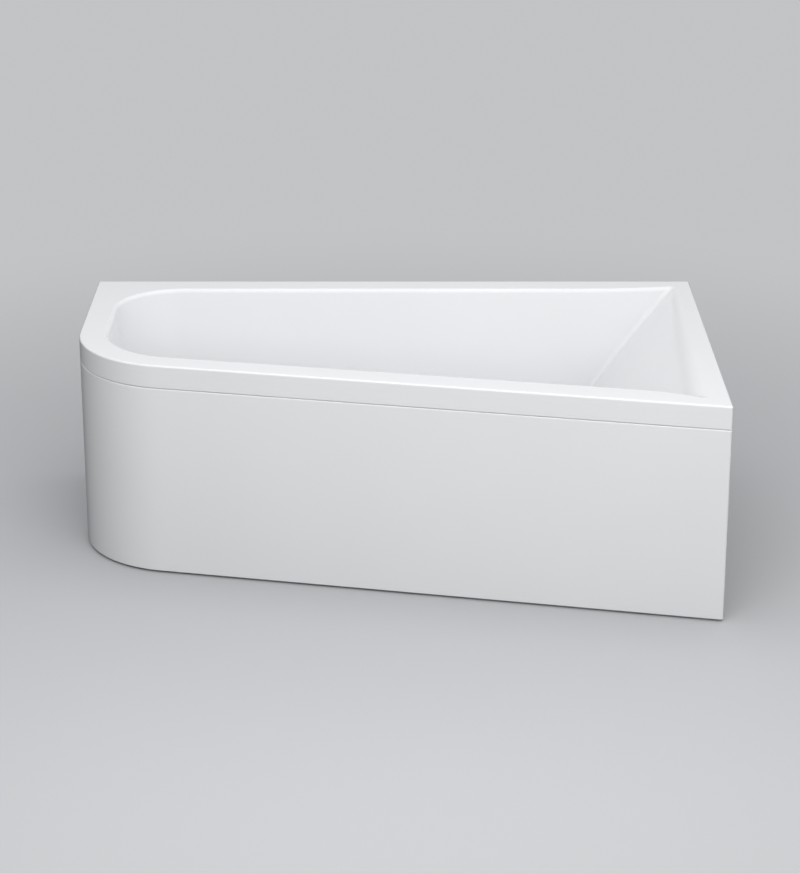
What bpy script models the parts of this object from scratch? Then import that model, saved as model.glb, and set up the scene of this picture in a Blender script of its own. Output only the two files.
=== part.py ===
"""Built-in corner bath with a slanted front and a one-piece apron, in metres, +Z up.

The origin lies on the floor, under the middle of the bath's own box. +X runs along the rear wall
to the right-hand end, and +Y points at the rear wall.
"""

import math

import bmesh
import bpy
from mathutils import Matrix, Vector
from mathutils.geometry import intersect_line_line

# Overall size
BATH_LENGTH = 1.600
BATH_DEPTH = 1.000
LEFT_DEPTH = 0.657
BATH_HEIGHT = 0.555
FLOOR_HEIGHT = 0.130
NOSE_RADIUS = 0.270
CORNER_RADIUS = 0.006

# Play between pieces that touch, round moving pieces, and how far a cutter runs past its work
GAP = 0.0003
RUNNING_GAP = 0.0005
OVERRUN = 0.020

# Acrylic shell: rim, basin and floor
SHELL_WALL = 0.004
SKIRT_HEIGHT = 0.058
RIM_EDGE_RADIUS = 0.005
LEAST_RADIUS = 0.001
RIM_REAR = 0.076
RIM_LEFT = 0.071
RIM_FRONT_LEFT = 0.073
RIM_FRONT_RIGHT = 0.084
RIM_RIGHT_REAR = 0.047
RIM_RIGHT_FRONT = 0.073
ROLL_RADIUS = 0.011
ROLL_RIGHT_REAR = 0.012
ROLL_RIGHT_FRONT = 0.070
TOE_RADIUS = 0.045
TOE_RIGHT_RADIUS = 0.080
REAR_LEFT_RADIUS = 0.165
FRONT_LEFT_RADIUS = 0.210
FRONT_RIGHT_RADIUS = 0.018
CREASE_RADIUS = 0.015
REAR_FLARE_LENGTH = 0.300
REAR_FLARE_RADIUS = 1.500
FRONT_FLARE_LENGTH = 0.200
FRONT_FLARE_RADIUS = 0.380
BACKREST_BOW = 0.018
REAR_SLOPE_SHARE = 0.06
LEFT_SLOPE_SHARE = 0.14
FRONT_SLOPE_SHARE = 0.07
BACKREST_SLOPE_SHARE = 0.722
WALL_SHARES = (0.035, 0.12, 0.34, 0.66)
BACKING_WALL_SHARES = (0.035, 0.12, 0.66)

# Drain in the floor and overflow in the front wall
DRAIN_X = -0.120
DRAIN_Y = -0.040
DISH_RADIUS = 0.072
DISH_FALL = 0.004
SEAT_CLEARANCE = 0.0015
SEAT_DEPTH = 0.003
SEAT_DRAFT = 0.001
OVERFLOW_DROP = 0.077
OVERFLOW_HOLE_RADIUS = 0.027

# Glass-fibre layer, base board and rim battens
BACKING_WALL = 0.003
BACKING_RIM_INSET = 0.027
BACKING_DRAIN_MARGIN = 0.004
BOARD_THICKNESS = 0.015
BOARD_MARGIN = 0.012
BOARD_HOLE_RADIUS = 0.060
BATTEN_THICKNESS = 0.018
RIM_PLAY = 0.001
FRONT_BATTEN_START = 0.400
FRONT_BATTEN_END_INSET = 0.106
LEFT_BATTEN_START = 0.060
LEFT_BATTEN_LENGTH = 0.320

# Leg rails and adjustable feet
RAIL_WIDTH = 0.040
RAIL_HEIGHT = 0.025
RAIL_WALL = 0.002
RAIL_LEFT_INSET = 0.350
RAIL_RIGHT_INSET = 0.06878
RAIL_END_INSET = 0.040
FOOT_END_INSET = 0.025
ROD_RADIUS = 0.005
ROD_TOP_LENGTH = 0.045
NUT_RADIUS = 0.0098
NUT_HEIGHT = 0.008
PAD_RADIUS = 0.030
PAD_NECK_RADIUS = 0.011
PAD_RIM_HEIGHT = 0.005
PAD_HEIGHT = 0.018
PAD_SOCKET_DEPTH = 0.011
PAD_CHAMFER = 0.0015
SCREW_RADIUS = 0.0025
SCREW_HEAD_RADIUS = 0.005
SCREW_HEAD_HEIGHT = 0.003
SCREW_BITE = 0.010
SCREW_SHARES = (0.3, 0.7)

# Apron panel and what holds it
PANEL_WALL = 0.003
PANEL_EDGE_RADIUS = 0.0035
PANEL_RETURN = 0.020
PANEL_END_RETURN = 0.030
PANEL_TOP_GAP = 0.002
PANEL_FLOOR_GAP = 0.005
PANEL_WALL_GAP = 0.002
STIFFENER_THICKNESS = 0.012
STIFFENER_HEIGHT = 0.060
STIFFENER_START = 0.420
STIFFENER_END_INSET = 0.156
STIFFENER_Z = 0.250
CLIP_WALL = 0.0015
CLIP_WIDTH = 0.030
CLIP_RISE = 0.030
CLIP_REACH = 0.012
CLIP_SHARES = (0.106, 0.496, 0.885)
LEFT_CLIP_PLACE = 0.220
BRACKET_WALL = 0.002
BRACKET_WIDTH = 0.040
BRACKET_RISE = 0.035
BRACKET_FOOT = 0.035
BRACKET_START = 0.440
BRACKET_END_INSET = 0.196
BRACKET_SHARES = (0, 0.44, 1)
HANGER_RISE = 0.085
HANGER_REACH = 0.020
REAR_HANGER_XS = (-0.480, 0.480)
RIGHT_HANGER_Y = 0.100

# Waste fitting
FLANGE_RADIUS = 0.0360
FLANGE_THICKNESS = 0.0025
FLANGE_BORE = 0.0200
FLANGE_TUBE_WALL = 0.0025
FLANGE_TUBE_LENGTH = 0.018
FLANGE_TUBE_CLEARANCE = 0.0035
GASKET_CLEARANCE = 0.005
GASKET_WIDTH = 0.008
GASKET_THICKNESS = 0.003
BODY_FLANGE_THICKNESS = 0.004
BODY_WALL = 0.003
BODY_HEIGHT = 0.048
BODY_CONE_HEIGHT = 0.006
NIPPLE_BORE = 0.0165
NIPPLE_WALL = 0.0025
NIPPLE_LENGTH = 0.010
SPIGOT_BORE = 0.0105
SPIGOT_WALL = 0.0025
SPIGOT_LENGTH = 0.022
SPIGOT_DROP = 0.027
PLUG_RADIUS = 0.0300
PLUG_EDGE = 0.002
PLUG_CROWN = 0.004
PLUG_SEAL_CLEARANCE = 0.001
PLUG_SEAL_WALL = 0.0030
PLUG_SEAL_HEIGHT = 0.003
STEM_RADIUS = 0.004
STEM_LENGTH = 0.034
STEM_SOCKET_DEPTH = 0.0025

# Overflow fitting
BEZEL_RADIUS = 0.034
BEZEL_THICKNESS = 0.0025
BEZEL_INLET_RADIUS = 0.0045
BEZEL_INLET_CIRCLE = 0.0165
BEZEL_INLETS = 6
SPINDLE_RADIUS = 0.004
SPINDLE_BACK_LENGTH = 0.032
KNOB_RADIUS = 0.035
KNOB_STANDOFF = 0.003
KNOB_THICKNESS = 0.012
KNOB_EDGE = 0.003
KNOB_SOCKET_DEPTH = 0.008
KNOB_NOTCH_RADIUS = 0.006
KNOB_NOTCHES = 3
OVERFLOW_BODY_BORE = 0.0330
OVERFLOW_BODY_WALL = 0.0035
OVERFLOW_BODY_DEPTH = 0.034
OVERFLOW_BACK_WALL = 0.003
OVERFLOW_GASKET_THICKNESS = 0.004
OVERFLOW_SPIGOT_LENGTH = 0.026

# Ribbed overflow hose, cable, trap and outlet
HOSE_BORE = 0.0118
HOSE_WALL = 0.0027
HOSE_RIB_RISE = 0.002
HOSE_RIBS = 32
HOSE_START_PULL = 0.230
HOSE_END_PULL = 0.150
HOSE_NUT_WALL = 0.0062
HOSE_NUT_LENGTH = 0.012
CABLE_RADIUS = 0.0025
CABLE_SIDE = 0.022
CABLE_POINTS = 24
CABLE_START_PULL = 0.280
CABLE_END_PULL = 0.210
CABLE_DEPTH_SHARE = 0.8
CABLE_TURN_DEGREES = 42
TRAP_RADIUS = 0.048
TRAP_WALL = 0.003
TRAP_NECK_HEIGHT = 0.0031
TRAP_DIP_CLEARANCE = 0.012
TRAP_NUT_WALL = 0.0077
TRAP_NUT_HEIGHT = 0.011
OUTLET_BORE = 0.0165
OUTLET_WALL = 0.002
OUTLET_SPIGOT_LENGTH = 0.030
OUTLET_NUT_WALL = 0.0057
OUTLET_NUT_LENGTH = 0.018
OUTLET_WALL_DISTANCE = 0.060

# How finely curves are divided
ARC_STEPS = (8, 10, 3, 3)
SIDE_STEPS = (2, 9, 6, 9)
EDGE_STEPS = 2
ROLL_STEPS = 4
BACKING_ROLL_STEPS = 2
TOE_STEPS = 3
TURN_STEPS = 24
SMALL_TURN_STEPS = 12
PAD_STEPS = 16
NUT_SIDES = 6
TUBE_RESOLUTION = 2

# Places that follow from the sizes above
LEFT_X = -BATH_LENGTH / 2
RIGHT_X = BATH_LENGTH / 2
FRONT_TURN = math.atan((BATH_DEPTH - LEFT_DEPTH) / BATH_LENGTH)
TIP_LOSS = CORNER_RADIUS / math.tan((math.pi / 2 - FRONT_TURN) / 2) * math.sin(FRONT_TURN)
REAR_Y = (BATH_DEPTH - TIP_LOSS) / 2
FRONT_Y = REAR_Y - BATH_DEPTH
OUTER_CORNERS = (
    Vector((LEFT_X, REAR_Y)),
    Vector((LEFT_X, REAR_Y - LEFT_DEPTH)),
    Vector((RIGHT_X, FRONT_Y)),
    Vector((RIGHT_X, REAR_Y)),
)
OUTER_RADII = (CORNER_RADIUS, NOSE_RADIUS, CORNER_RADIUS, CORNER_RADIUS)
FRONT_ALONG = (OUTER_CORNERS[2] - OUTER_CORNERS[1]).normalized()
FRONT_INWARD = Vector((-FRONT_ALONG.y, FRONT_ALONG.x))
FRONT_LENGTH = (OUTER_CORNERS[2] - OUTER_CORNERS[1]).length
FRONT_BATTEN_LENGTH = FRONT_LENGTH - FRONT_BATTEN_START - FRONT_BATTEN_END_INSET
STIFFENER_LENGTH = FRONT_LENGTH - STIFFENER_START - STIFFENER_END_INSET
SKIRT_BOTTOM = BATH_HEIGHT - SKIRT_HEIGHT
RIM_UNDERSIDE = BATH_HEIGHT - SHELL_WALL
BASIN_DEPTH = BATH_HEIGHT - FLOOR_HEIGHT
BOARD_TOP = FLOOR_HEIGHT - SHELL_WALL - BACKING_WALL - 2 * GAP
BOARD_BOTTOM = BOARD_TOP - BOARD_THICKNESS
RAIL_TOP = BOARD_BOTTOM - GAP
WEB_BOTTOM = RAIL_TOP - RAIL_WALL
SEAT_TOP = FLOOR_HEIGHT - DISH_FALL - SEAT_DEPTH
SEAT_BOTTOM = SEAT_TOP - SHELL_WALL
BODY_TOP = SEAT_BOTTOM - GASKET_THICKNESS - 2 * GAP
BODY_BOTTOM = BODY_TOP - BODY_HEIGHT
NIPPLE_BOTTOM = BODY_BOTTOM - BODY_CONE_HEIGHT - NIPPLE_LENGTH
SPIGOT_Z = BODY_TOP - SPIGOT_DROP
TRAP_TOP = NIPPLE_BOTTOM - GAP - TRAP_NECK_HEIGHT
PANEL_TOP = SKIRT_BOTTOM - PANEL_TOP_GAP
PANEL_BOTTOM = PANEL_FLOOR_GAP
FLANGE_TUBE_RADIUS = FLANGE_BORE + FLANGE_TUBE_WALL
GASKET_INNER_RADIUS = FLANGE_TUBE_RADIUS + GASKET_CLEARANCE
GASKET_OUTER_RADIUS = GASKET_INNER_RADIUS + GASKET_WIDTH
SEAT_RADIUS = FLANGE_RADIUS + SEAT_CLEARANCE
DRAIN_HOLE_RADIUS = FLANGE_TUBE_RADIUS + FLANGE_TUBE_CLEARANCE
BODY_BORE = DRAIN_HOLE_RADIUS
BODY_RADIUS = BODY_BORE + BODY_WALL
NIPPLE_RADIUS = NIPPLE_BORE + NIPPLE_WALL
SPIGOT_RADIUS = SPIGOT_BORE + SPIGOT_WALL
PLUG_SEAL_RADIUS = FLANGE_BORE - PLUG_SEAL_CLEARANCE
OVERFLOW_BODY_RADIUS = OVERFLOW_BODY_BORE + OVERFLOW_BODY_WALL
HOSE_ROOT_RADIUS = HOSE_BORE + HOSE_WALL
HOSE_RADIUS = HOSE_ROOT_RADIUS + HOSE_RIB_RISE
HOSE_NUT_RADIUS = SPIGOT_RADIUS + GAP + HOSE_NUT_WALL
TRAP_NUT_RADIUS = NIPPLE_RADIUS + GAP + TRAP_NUT_WALL
OUTLET_RADIUS = OUTLET_BORE + OUTLET_WALL
OUTLET_NUT_RADIUS = OUTLET_RADIUS + GAP + OUTLET_NUT_WALL
TRAP_HEIGHT = 2 * OUTLET_RADIUS + TRAP_WALL


class Side:
    """One wall of the basin in section: where it leaves the rim, how it leans and how it is rounded."""

    def __init__(self, rim_start, rim_end, slope, roll_start, roll_end, toe, bow):
        self.rim = (rim_start, rim_end)
        self.roll = (roll_start, roll_end)
        self.slope = slope
        self.toe = toe
        self.bow = bow

    def inset(self, depth, end):
        """How far in from the bath's outer side the wall is, this deep below the rim."""
        rim = self.rim[end]
        roll = self.roll[end]
        lean = math.atan(self.slope)
        half_turn = (math.pi / 2 - lean) / 2
        height = BASIN_DEPTH - depth
        if depth < roll * (1 - math.sin(lean)):
            inset = rim - roll * math.tan(half_turn)
            inset += math.sqrt(roll**2 - (roll - depth) ** 2)
        elif height < self.toe * (1 - math.sin(lean)):
            inset = rim + self.slope * BASIN_DEPTH + self.toe * math.tan(half_turn)
            inset -= math.sqrt(self.toe**2 - (self.toe - height) ** 2)
        else:
            inset = rim + self.slope * depth
        share = depth / BASIN_DEPTH
        return inset + 4 * self.bow * share * (1 - share)


SIDES = (
    Side(RIM_LEFT, RIM_LEFT, LEFT_SLOPE_SHARE, ROLL_RADIUS, ROLL_RADIUS, TOE_RADIUS, 0),
    Side(RIM_FRONT_LEFT, RIM_FRONT_RIGHT, FRONT_SLOPE_SHARE, ROLL_RADIUS, ROLL_RADIUS, TOE_RADIUS, 0),
    Side(
        RIM_RIGHT_FRONT,
        RIM_RIGHT_REAR,
        BACKREST_SLOPE_SHARE,
        ROLL_RIGHT_FRONT,
        ROLL_RIGHT_REAR,
        TOE_RIGHT_RADIUS,
        BACKREST_BOW,
    ),
    Side(RIM_REAR, RIM_REAR, REAR_SLOPE_SHARE, ROLL_RADIUS, ROLL_RADIUS, TOE_RADIUS, 0),
)
FRONT_SIDE = SIDES[1]
# Each corner's radius in plan at the rim, and whether it shrinks as the walls lean in
BASIN_RADII = (REAR_LEFT_RADIUS, FRONT_LEFT_RADIUS, FRONT_RIGHT_RADIUS, CREASE_RADIUS)
BASIN_SHRINK_SHARES = (1, 1, 0, 0)


def fresh_scene():
    """Empties the scene and returns the collections for the bath's pieces and for its cutters."""
    for obj in list(bpy.data.objects):
        bpy.data.objects.remove(obj, do_unlink=True)
    pieces = bpy.data.collections.new("corner_bath")
    cutters = bpy.data.collections.new("corner_bath_cutters")
    bpy.context.scene.collection.children.link(pieces)
    bpy.context.scene.collection.children.link(cutters)
    return pieces, cutters


PIECES, CUTTERS = fresh_scene()


def finish(name, colour, roughness, metallic):
    """A material with the piece's colour, roughness and metallic value."""
    made = bpy.data.materials.new(name)
    made.use_nodes = True
    shader = made.node_tree.nodes["Principled BSDF"]
    shader.inputs["Base Color"].default_value = (*colour, 1)
    shader.inputs["Roughness"].default_value = roughness
    shader.inputs["Metallic"].default_value = metallic
    made.diffuse_color = (*colour, 1)
    return made


ACRYLIC = finish("white_acrylic", (0.83, 0.84, 0.85), 0.12, 0)
GLASS_FIBRE = finish("glass_fibre", (0.72, 0.70, 0.60), 0.65, 0)
CHIPBOARD = finish("chipboard", (0.55, 0.40, 0.24), 0.80, 0)
PLYWOOD = finish("plywood", (0.66, 0.50, 0.31), 0.70, 0)
ZINC_STEEL = finish("zinc_steel", (0.62, 0.64, 0.66), 0.38, 1)
CHROME = finish("chrome", (0.80, 0.81, 0.82), 0.08, 1)
BLACK_PLASTIC = finish("black_plastic", (0.035, 0.035, 0.038), 0.50, 0)
GREY_PLASTIC = finish("grey_plastic", (0.42, 0.43, 0.44), 0.45, 0)
WHITE_PLASTIC = finish("white_plastic", (0.80, 0.80, 0.79), 0.40, 0)
RUBBER = finish("rubber", (0.05, 0.05, 0.05), 0.75, 0)


def link(obj, material, location=(0, 0, 0), rotation=(0, 0, 0), parent=None):
    """Gives a piece its material, place and parent, and puts it with the bath's pieces."""
    if material:
        obj.data.materials.clear()
        obj.data.materials.append(material)
    PIECES.objects.link(obj)
    obj.location = location
    obj.rotation_euler = rotation
    obj.parent = parent
    return obj


def smooth(mesh, degrees=35):
    """Smooth shading with sharp edges where the surface turns by more than this."""
    mesh.shade_smooth()
    mesh.set_sharp_from_angle(angle=math.radians(degrees))


def mesh_of(name, bm):
    mesh = bpy.data.meshes.new(name)
    bm.to_mesh(mesh)
    bm.free()
    return mesh


def cutter(name, mesh, matrix):
    """A helper solid that only cuts or joins, kept out of renders."""
    obj = bpy.data.objects.new(name, mesh)
    CUTTERS.objects.link(obj)
    obj.matrix_world = matrix
    obj.hide_render = True
    obj.display_type = "WIRE"
    return obj


def combine(obj, other, operation):
    change = obj.modifiers.new(other.name, "BOOLEAN")
    change.operation = operation
    change.object = other


def box_mesh(name, size):
    bm = bmesh.new()
    bmesh.ops.create_cube(bm, size=1)
    bmesh.ops.scale(bm, vec=size, verts=bm.verts)
    return mesh_of(name, bm)


def rod_mesh(name, radius, length, steps=SMALL_TURN_STEPS):
    """A cylinder along Z with its middle at the origin."""
    bm = bmesh.new()
    bmesh.ops.create_cone(
        bm, cap_ends=True, segments=steps, radius1=radius, radius2=radius, depth=length
    )
    return mesh_of(name, bm)


def turned(name, profile, material, closed, location=(0, 0, 0), parent=None, steps=TURN_STEPS):
    """A profile of (radius, z) points turned about Z. It runs down its outer side."""
    bm = bmesh.new()
    verts = [bm.verts.new((radius, 0, z)) for radius, z in profile]
    for first, second in zip(verts, verts[1:]):
        bm.edges.new((first, second))
    if closed:
        bm.edges.new((verts[-1], verts[0]))
    obj = bpy.data.objects.new(name, mesh_of(name, bm))
    turn = obj.modifiers.new("turn", "SCREW")
    turn.steps = steps
    turn.render_steps = steps
    turn.use_merge_vertices = True
    turn.merge_threshold = GAP / 10
    turn.use_smooth_shade = False
    return link(obj, material, location, parent=parent)


def turned_cutter(name, profile):
    """A solid of revolution round the drain that cuts or joins."""
    helper = turned(name, profile, None, False)
    made = evaluated_mesh(helper, name)
    bpy.data.objects.remove(helper)
    return cutter(name, made, Matrix.Translation((DRAIN_X, DRAIN_Y, 0)))


def evaluated_mesh(obj, name):
    """The piece's mesh with its modifiers applied."""
    bpy.context.view_layer.update()
    graph = bpy.context.evaluated_depsgraph_get()
    mesh = bpy.data.meshes.new_from_object(obj.evaluated_get(graph))
    mesh.name = name
    return mesh


def applied(obj):
    """Applies the piece's modifiers and shades what they made."""
    mesh = evaluated_mesh(obj, obj.name)
    obj.modifiers.clear()
    obj.data = mesh
    smooth(mesh)
    return obj


def inset_corners(insets):
    """The four corners in plan, with each side moved in by its (start, end) distances."""
    lines = []
    for i, (start, end) in enumerate(insets):
        first = OUTER_CORNERS[i]
        last = OUTER_CORNERS[(i + 1) % 4]
        along = (last - first).normalized()
        inward = Vector((-along.y, along.x))
        lines.append(((first + inward * start).to_3d(), (last + inward * end).to_3d()))
    return [intersect_line_line(*lines[i - 1], *lines[i])[0].to_2d() for i in range(4)]


def corner_arc(before, corner, after, radius, steps):
    """Points of the arc that rounds a corner, from the side before it to the side after it."""
    back = (before - corner).normalized()
    onward = (after - corner).normalized()
    half = back.angle(onward) / 2
    centre = corner + (back + onward).normalized() * radius / math.sin(half)
    spoke = corner + back * radius / math.tan(half) - centre
    sweep = math.pi - 2 * half
    return [centre + Matrix.Rotation(sweep * k / steps, 2) @ spoke for k in range(steps + 1)]


def between(first, last, steps):
    """The points that divide a straight stretch, without its ends."""
    return [first.lerp(last, k / steps) for k in range(1, steps)]


def rounded_ring(corners, radii):
    """A closed outline with rounded corners. Every ring has the same number of points."""
    arcs = [
        corner_arc(corners[i - 1], corners[i], corners[(i + 1) % 4], radii[i], ARC_STEPS[i])
        for i in range(4)
    ]
    points = []
    for i, arc in enumerate(arcs):
        points += arc + between(arc[-1], arcs[(i + 1) % 4][0], SIDE_STEPS[i])
    return points


def front_shares():
    """For each point of a ring: 1 along the front, 0 along the rear, in even steps between."""
    shares = []
    for i, (here, there) in enumerate(((0, 1), (1, 1), (1, 0), (0, 0))):
        shares += [here] * (ARC_STEPS[i] + 1)
        shares += [here + (there - here) * k / SIDE_STEPS[i] for k in range(1, SIDE_STEPS[i])]
    return shares


FRONT_SHARES = front_shares()


def flared(point, front_share):
    """Spreads the rear and front walls apart towards the right-hand end."""
    past_rear = max(0, point.x - RIGHT_X + REAR_FLARE_LENGTH)
    past_front = max(0, point.x - RIGHT_X + FRONT_FLARE_LENGTH)
    rear = past_rear**2 / (2 * REAR_FLARE_RADIUS) * (1 - front_share)
    front = past_front**2 / (2 * FRONT_FLARE_RADIUS) * front_share
    return point + Vector((0, rear)) - FRONT_INWARD * front


def outer_ring(inset, z):
    radii = [max(radius - inset, LEAST_RADIUS) for radius in OUTER_RADII]
    ring = rounded_ring(inset_corners([(inset, inset)] * 4), radii)
    return [point.to_3d() + Vector((0, 0, z)) for point in ring]


def basin_outline(depth, margin=0):
    """The basin's outline in plan this deep below the rim, drawn in by a margin."""
    insets = [tuple(side.inset(depth, end) + margin for end in (0, 1)) for side in SIDES]
    radii = []
    for i, (radius, share) in enumerate(zip(BASIN_RADII, BASIN_SHRINK_SHARES)):
        drawn_in = (insets[i - 1][1] - SIDES[i - 1].rim[1] + insets[i][0] - SIDES[i].rim[0]) / 2
        radii.append(max(radius - drawn_in * share, CREASE_RADIUS))
    ring = rounded_ring(inset_corners(insets), radii)
    return [flared(point, share) for point, share in zip(ring, FRONT_SHARES)]


def basin_ring(depth):
    z = BATH_HEIGHT - depth
    return [Vector((point.x, point.y, z)) for point in basin_outline(depth)]


BOARD_RIGHT = max(point.x for point in basin_outline(BASIN_DEPTH, BOARD_MARGIN))
RAIL_XS = (LEFT_X + RAIL_LEFT_INSET, BOARD_RIGHT - RAIL_RIGHT_INSET)


def basin_depths(roll_steps, wall_shares):
    """Depths of the basin's rings: close together on the rolled edge and the toe."""
    wall_top = ROLL_RADIUS
    wall_bottom = BASIN_DEPTH - TOE_RADIUS
    depths = [
        ROLL_RADIUS * (1 - math.cos(math.pi / 2 * k / roll_steps)) for k in range(roll_steps + 1)
    ]
    depths += [wall_top + (wall_bottom - wall_top) * share for share in wall_shares]
    depths += [
        BASIN_DEPTH - TOE_RADIUS * (1 - math.sin(math.pi / 2 * k / TOE_STEPS))
        for k in range(TOE_STEPS + 1)
    ]
    return depths


def lofted(rings):
    """A surface through rings of equal length, closed across the last one."""
    bm = bmesh.new()
    rows = [[bm.verts.new(point) for point in ring] for ring in rings]
    for lower, upper in zip(rows, rows[1:]):
        for k in range(len(lower)):
            after = (k + 1) % len(lower)
            bm.faces.new((lower[k], lower[after], upper[after], upper[k]))
    bm.faces.new(rows[-1])
    bm.normal_update()
    return bm


def skinned(obj, thickness):
    """Solidify behind the visible surface."""
    skin = obj.modifiers.new("skin", "SOLIDIFY")
    skin.thickness = thickness
    skin.offset = -1
    skin.use_even_offset = True
    return obj


# The overflow's own frame: its origin on the inside of the front wall, Z pointing into the basin
# and Y up the wall
def overflow_place():
    start = FRONT_SIDE.inset(OVERFLOW_DROP, 0)
    end = FRONT_SIDE.inset(OVERFLOW_DROP, 1)
    first = OUTER_CORNERS[1] + FRONT_INWARD * start
    last = OUTER_CORNERS[2] + FRONT_INWARD * end
    share = (DRAIN_X - first.x) / (last.x - first.x)
    spot = first.lerp(last, share)
    across = (first - last).normalized().to_3d()
    out = (Vector((across.y, -across.x, 0)) + Vector((0, 0, FRONT_SLOPE_SHARE))).normalized()
    up = out.cross(across)
    matrix = Matrix((across, up, out)).transposed().to_4x4()
    matrix.translation = (spot.x, spot.y, BATH_HEIGHT - OVERFLOW_DROP)
    return matrix


OVERFLOW = overflow_place()


def make_tub():
    """The vacuum-formed acrylic shell: skirt, rim, basin and floor, with its two holes."""
    rings = [outer_ring(0, SKIRT_BOTTOM)]
    for k in range(EDGE_STEPS + 1):
        turn = math.pi / 2 * k / EDGE_STEPS
        rings.append(
            outer_ring(
                RIM_EDGE_RADIUS * (1 - math.cos(turn)),
                BATH_HEIGHT - RIM_EDGE_RADIUS * (1 - math.sin(turn)),
            )
        )
    rings += [basin_ring(depth) for depth in basin_depths(ROLL_STEPS, WALL_SHARES)]
    tub = bpy.data.objects.new("tub_shell", mesh_of("tub_shell", lofted(rings)))
    link(tub, ACRYLIC)
    skinned(tub, SHELL_WALL)
    dish_bottom = FLOOR_HEIGHT - DISH_FALL
    dish = [
        (0, FLOOR_HEIGHT - SHELL_WALL / 2),
        (DISH_RADIUS, FLOOR_HEIGHT - SHELL_WALL / 2),
        (DISH_RADIUS, FLOOR_HEIGHT - SHELL_WALL),
        (SEAT_RADIUS + SEAT_DRAFT + SHELL_WALL, dish_bottom - SHELL_WALL),
        (SEAT_RADIUS + SHELL_WALL, SEAT_BOTTOM),
        (0, SEAT_BOTTOM),
    ]
    combine(tub, turned_cutter("drain_dish", dish), "UNION")
    hollow = [
        (0, FLOOR_HEIGHT + OVERRUN),
        (DISH_RADIUS, FLOOR_HEIGHT + OVERRUN),
        (DISH_RADIUS, FLOOR_HEIGHT),
        (SEAT_RADIUS + SEAT_DRAFT, dish_bottom),
        (SEAT_RADIUS, SEAT_TOP),
        (DRAIN_HOLE_RADIUS, SEAT_TOP),
        (DRAIN_HOLE_RADIUS, SEAT_BOTTOM - OVERRUN),
        (0, SEAT_BOTTOM - OVERRUN),
    ]
    combine(tub, turned_cutter("drain_hollow", hollow), "DIFFERENCE")
    hole = cutter(
        "overflow_hole",
        rod_mesh("overflow_hole", OVERFLOW_HOLE_RADIUS, 2 * OVERRUN, TURN_STEPS),
        OVERFLOW,
    )
    combine(tub, hole, "DIFFERENCE")
    applied(tub)


def make_backing():
    """The glass-fibre layer sprayed on the back of the basin, a play's width off the acrylic."""
    rings = [outer_ring(BACKING_RIM_INSET, BATH_HEIGHT)]
    rings += [basin_ring(depth) for depth in basin_depths(BACKING_ROLL_STEPS, BACKING_WALL_SHARES)]
    bm = lofted(rings)
    moves = [(v, v.normal * v.calc_shell_factor() * (SHELL_WALL + GAP)) for v in bm.verts]
    for vert, move in moves:
        vert.co -= move
    backing = bpy.data.objects.new("glassfibre_backing", mesh_of("glassfibre_backing", bm))
    link(backing, GLASS_FIBRE)
    skinned(backing, BACKING_WALL)
    hole = cutter(
        "backing_hole",
        rod_mesh("backing_hole", OVERFLOW_HOLE_RADIUS, 2 * OVERRUN, TURN_STEPS),
        OVERFLOW,
    )
    combine(backing, hole, "DIFFERENCE")
    drain_hole = cutter(
        "backing_drain_hole",
        rod_mesh("backing_drain_hole", DISH_RADIUS + BACKING_DRAIN_MARGIN, 2 * OVERRUN, TURN_STEPS),
        Matrix.Translation((DRAIN_X, DRAIN_Y, FLOOR_HEIGHT)),
    )
    combine(backing, drain_hole, "DIFFERENCE")
    applied(backing)


def make_base_board():
    """The chipboard that stiffens the floor, cut out round the drain."""
    bm = bmesh.new()
    outline = [bm.verts.new((p.x, p.y, 0)) for p in basin_outline(BASIN_DEPTH, BOARD_MARGIN)]
    face = bm.faces.new(outline)
    raised = bmesh.ops.extrude_face_region(bm, geom=[face])["geom"]
    top = [item for item in raised if isinstance(item, bmesh.types.BMVert)]
    bmesh.ops.translate(bm, verts=top, vec=(0, 0, BOARD_THICKNESS))
    bmesh.ops.recalc_face_normals(bm, faces=bm.faces)
    board = bpy.data.objects.new("base_board", mesh_of("base_board", bm))
    link(board, CHIPBOARD, (0, 0, BOARD_BOTTOM))
    hole = cutter(
        "board_hole",
        rod_mesh("board_hole", BOARD_HOLE_RADIUS, 2 * OVERRUN, TURN_STEPS),
        Matrix.Translation((DRAIN_X, DRAIN_Y, BOARD_BOTTOM)),
    )
    combine(board, hole, "DIFFERENCE")
    for x in RAIL_XS:
        for y in screw_ys(x):
            pilot = cutter(
                "pilot_hole",
                rod_mesh("pilot_hole", SCREW_RADIUS + GAP, 2 * (SCREW_BITE + GAP)),
                Matrix.Translation((x, y, BOARD_BOTTOM)),
            )
            combine(board, pilot, "DIFFERENCE")
    applied(board)


def front_line_y(x, inset):
    """Y of the front at this X, set in square to the front by an inset."""
    return OUTER_CORNERS[1].y + (x - LEFT_X) * FRONT_ALONG.y / FRONT_ALONG.x + inset / FRONT_ALONG.x


def rail_ends(x):
    return front_line_y(x, RAIL_END_INSET), REAR_Y - RAIL_END_INSET


def foot_ys(x):
    front, rear = rail_ends(x)
    return front + FOOT_END_INSET, rear - FOOT_END_INSET


def screw_ys(x):
    front, rear = rail_ends(x)
    return [front + (rear - front) * share for share in SCREW_SHARES]


def strip_mesh(name, section, length, thickness):
    """A bent strip: an open (x, z) section drawn out along Y, then thickened on its right-hand side."""
    bm = bmesh.new()
    near = [bm.verts.new((x, -length / 2, z)) for x, z in section]
    far = [bm.verts.new((x, length / 2, z)) for x, z in section]
    for k in range(len(section) - 1):
        bm.faces.new((near[k], near[k + 1], far[k + 1], far[k]))
    mesh = mesh_of(name, bm)
    helper = bpy.data.objects.new(name, mesh)
    CUTTERS.objects.link(helper)
    skinned(helper, -thickness)
    made = evaluated_mesh(helper, name)
    bpy.data.objects.remove(helper)
    return made


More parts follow.
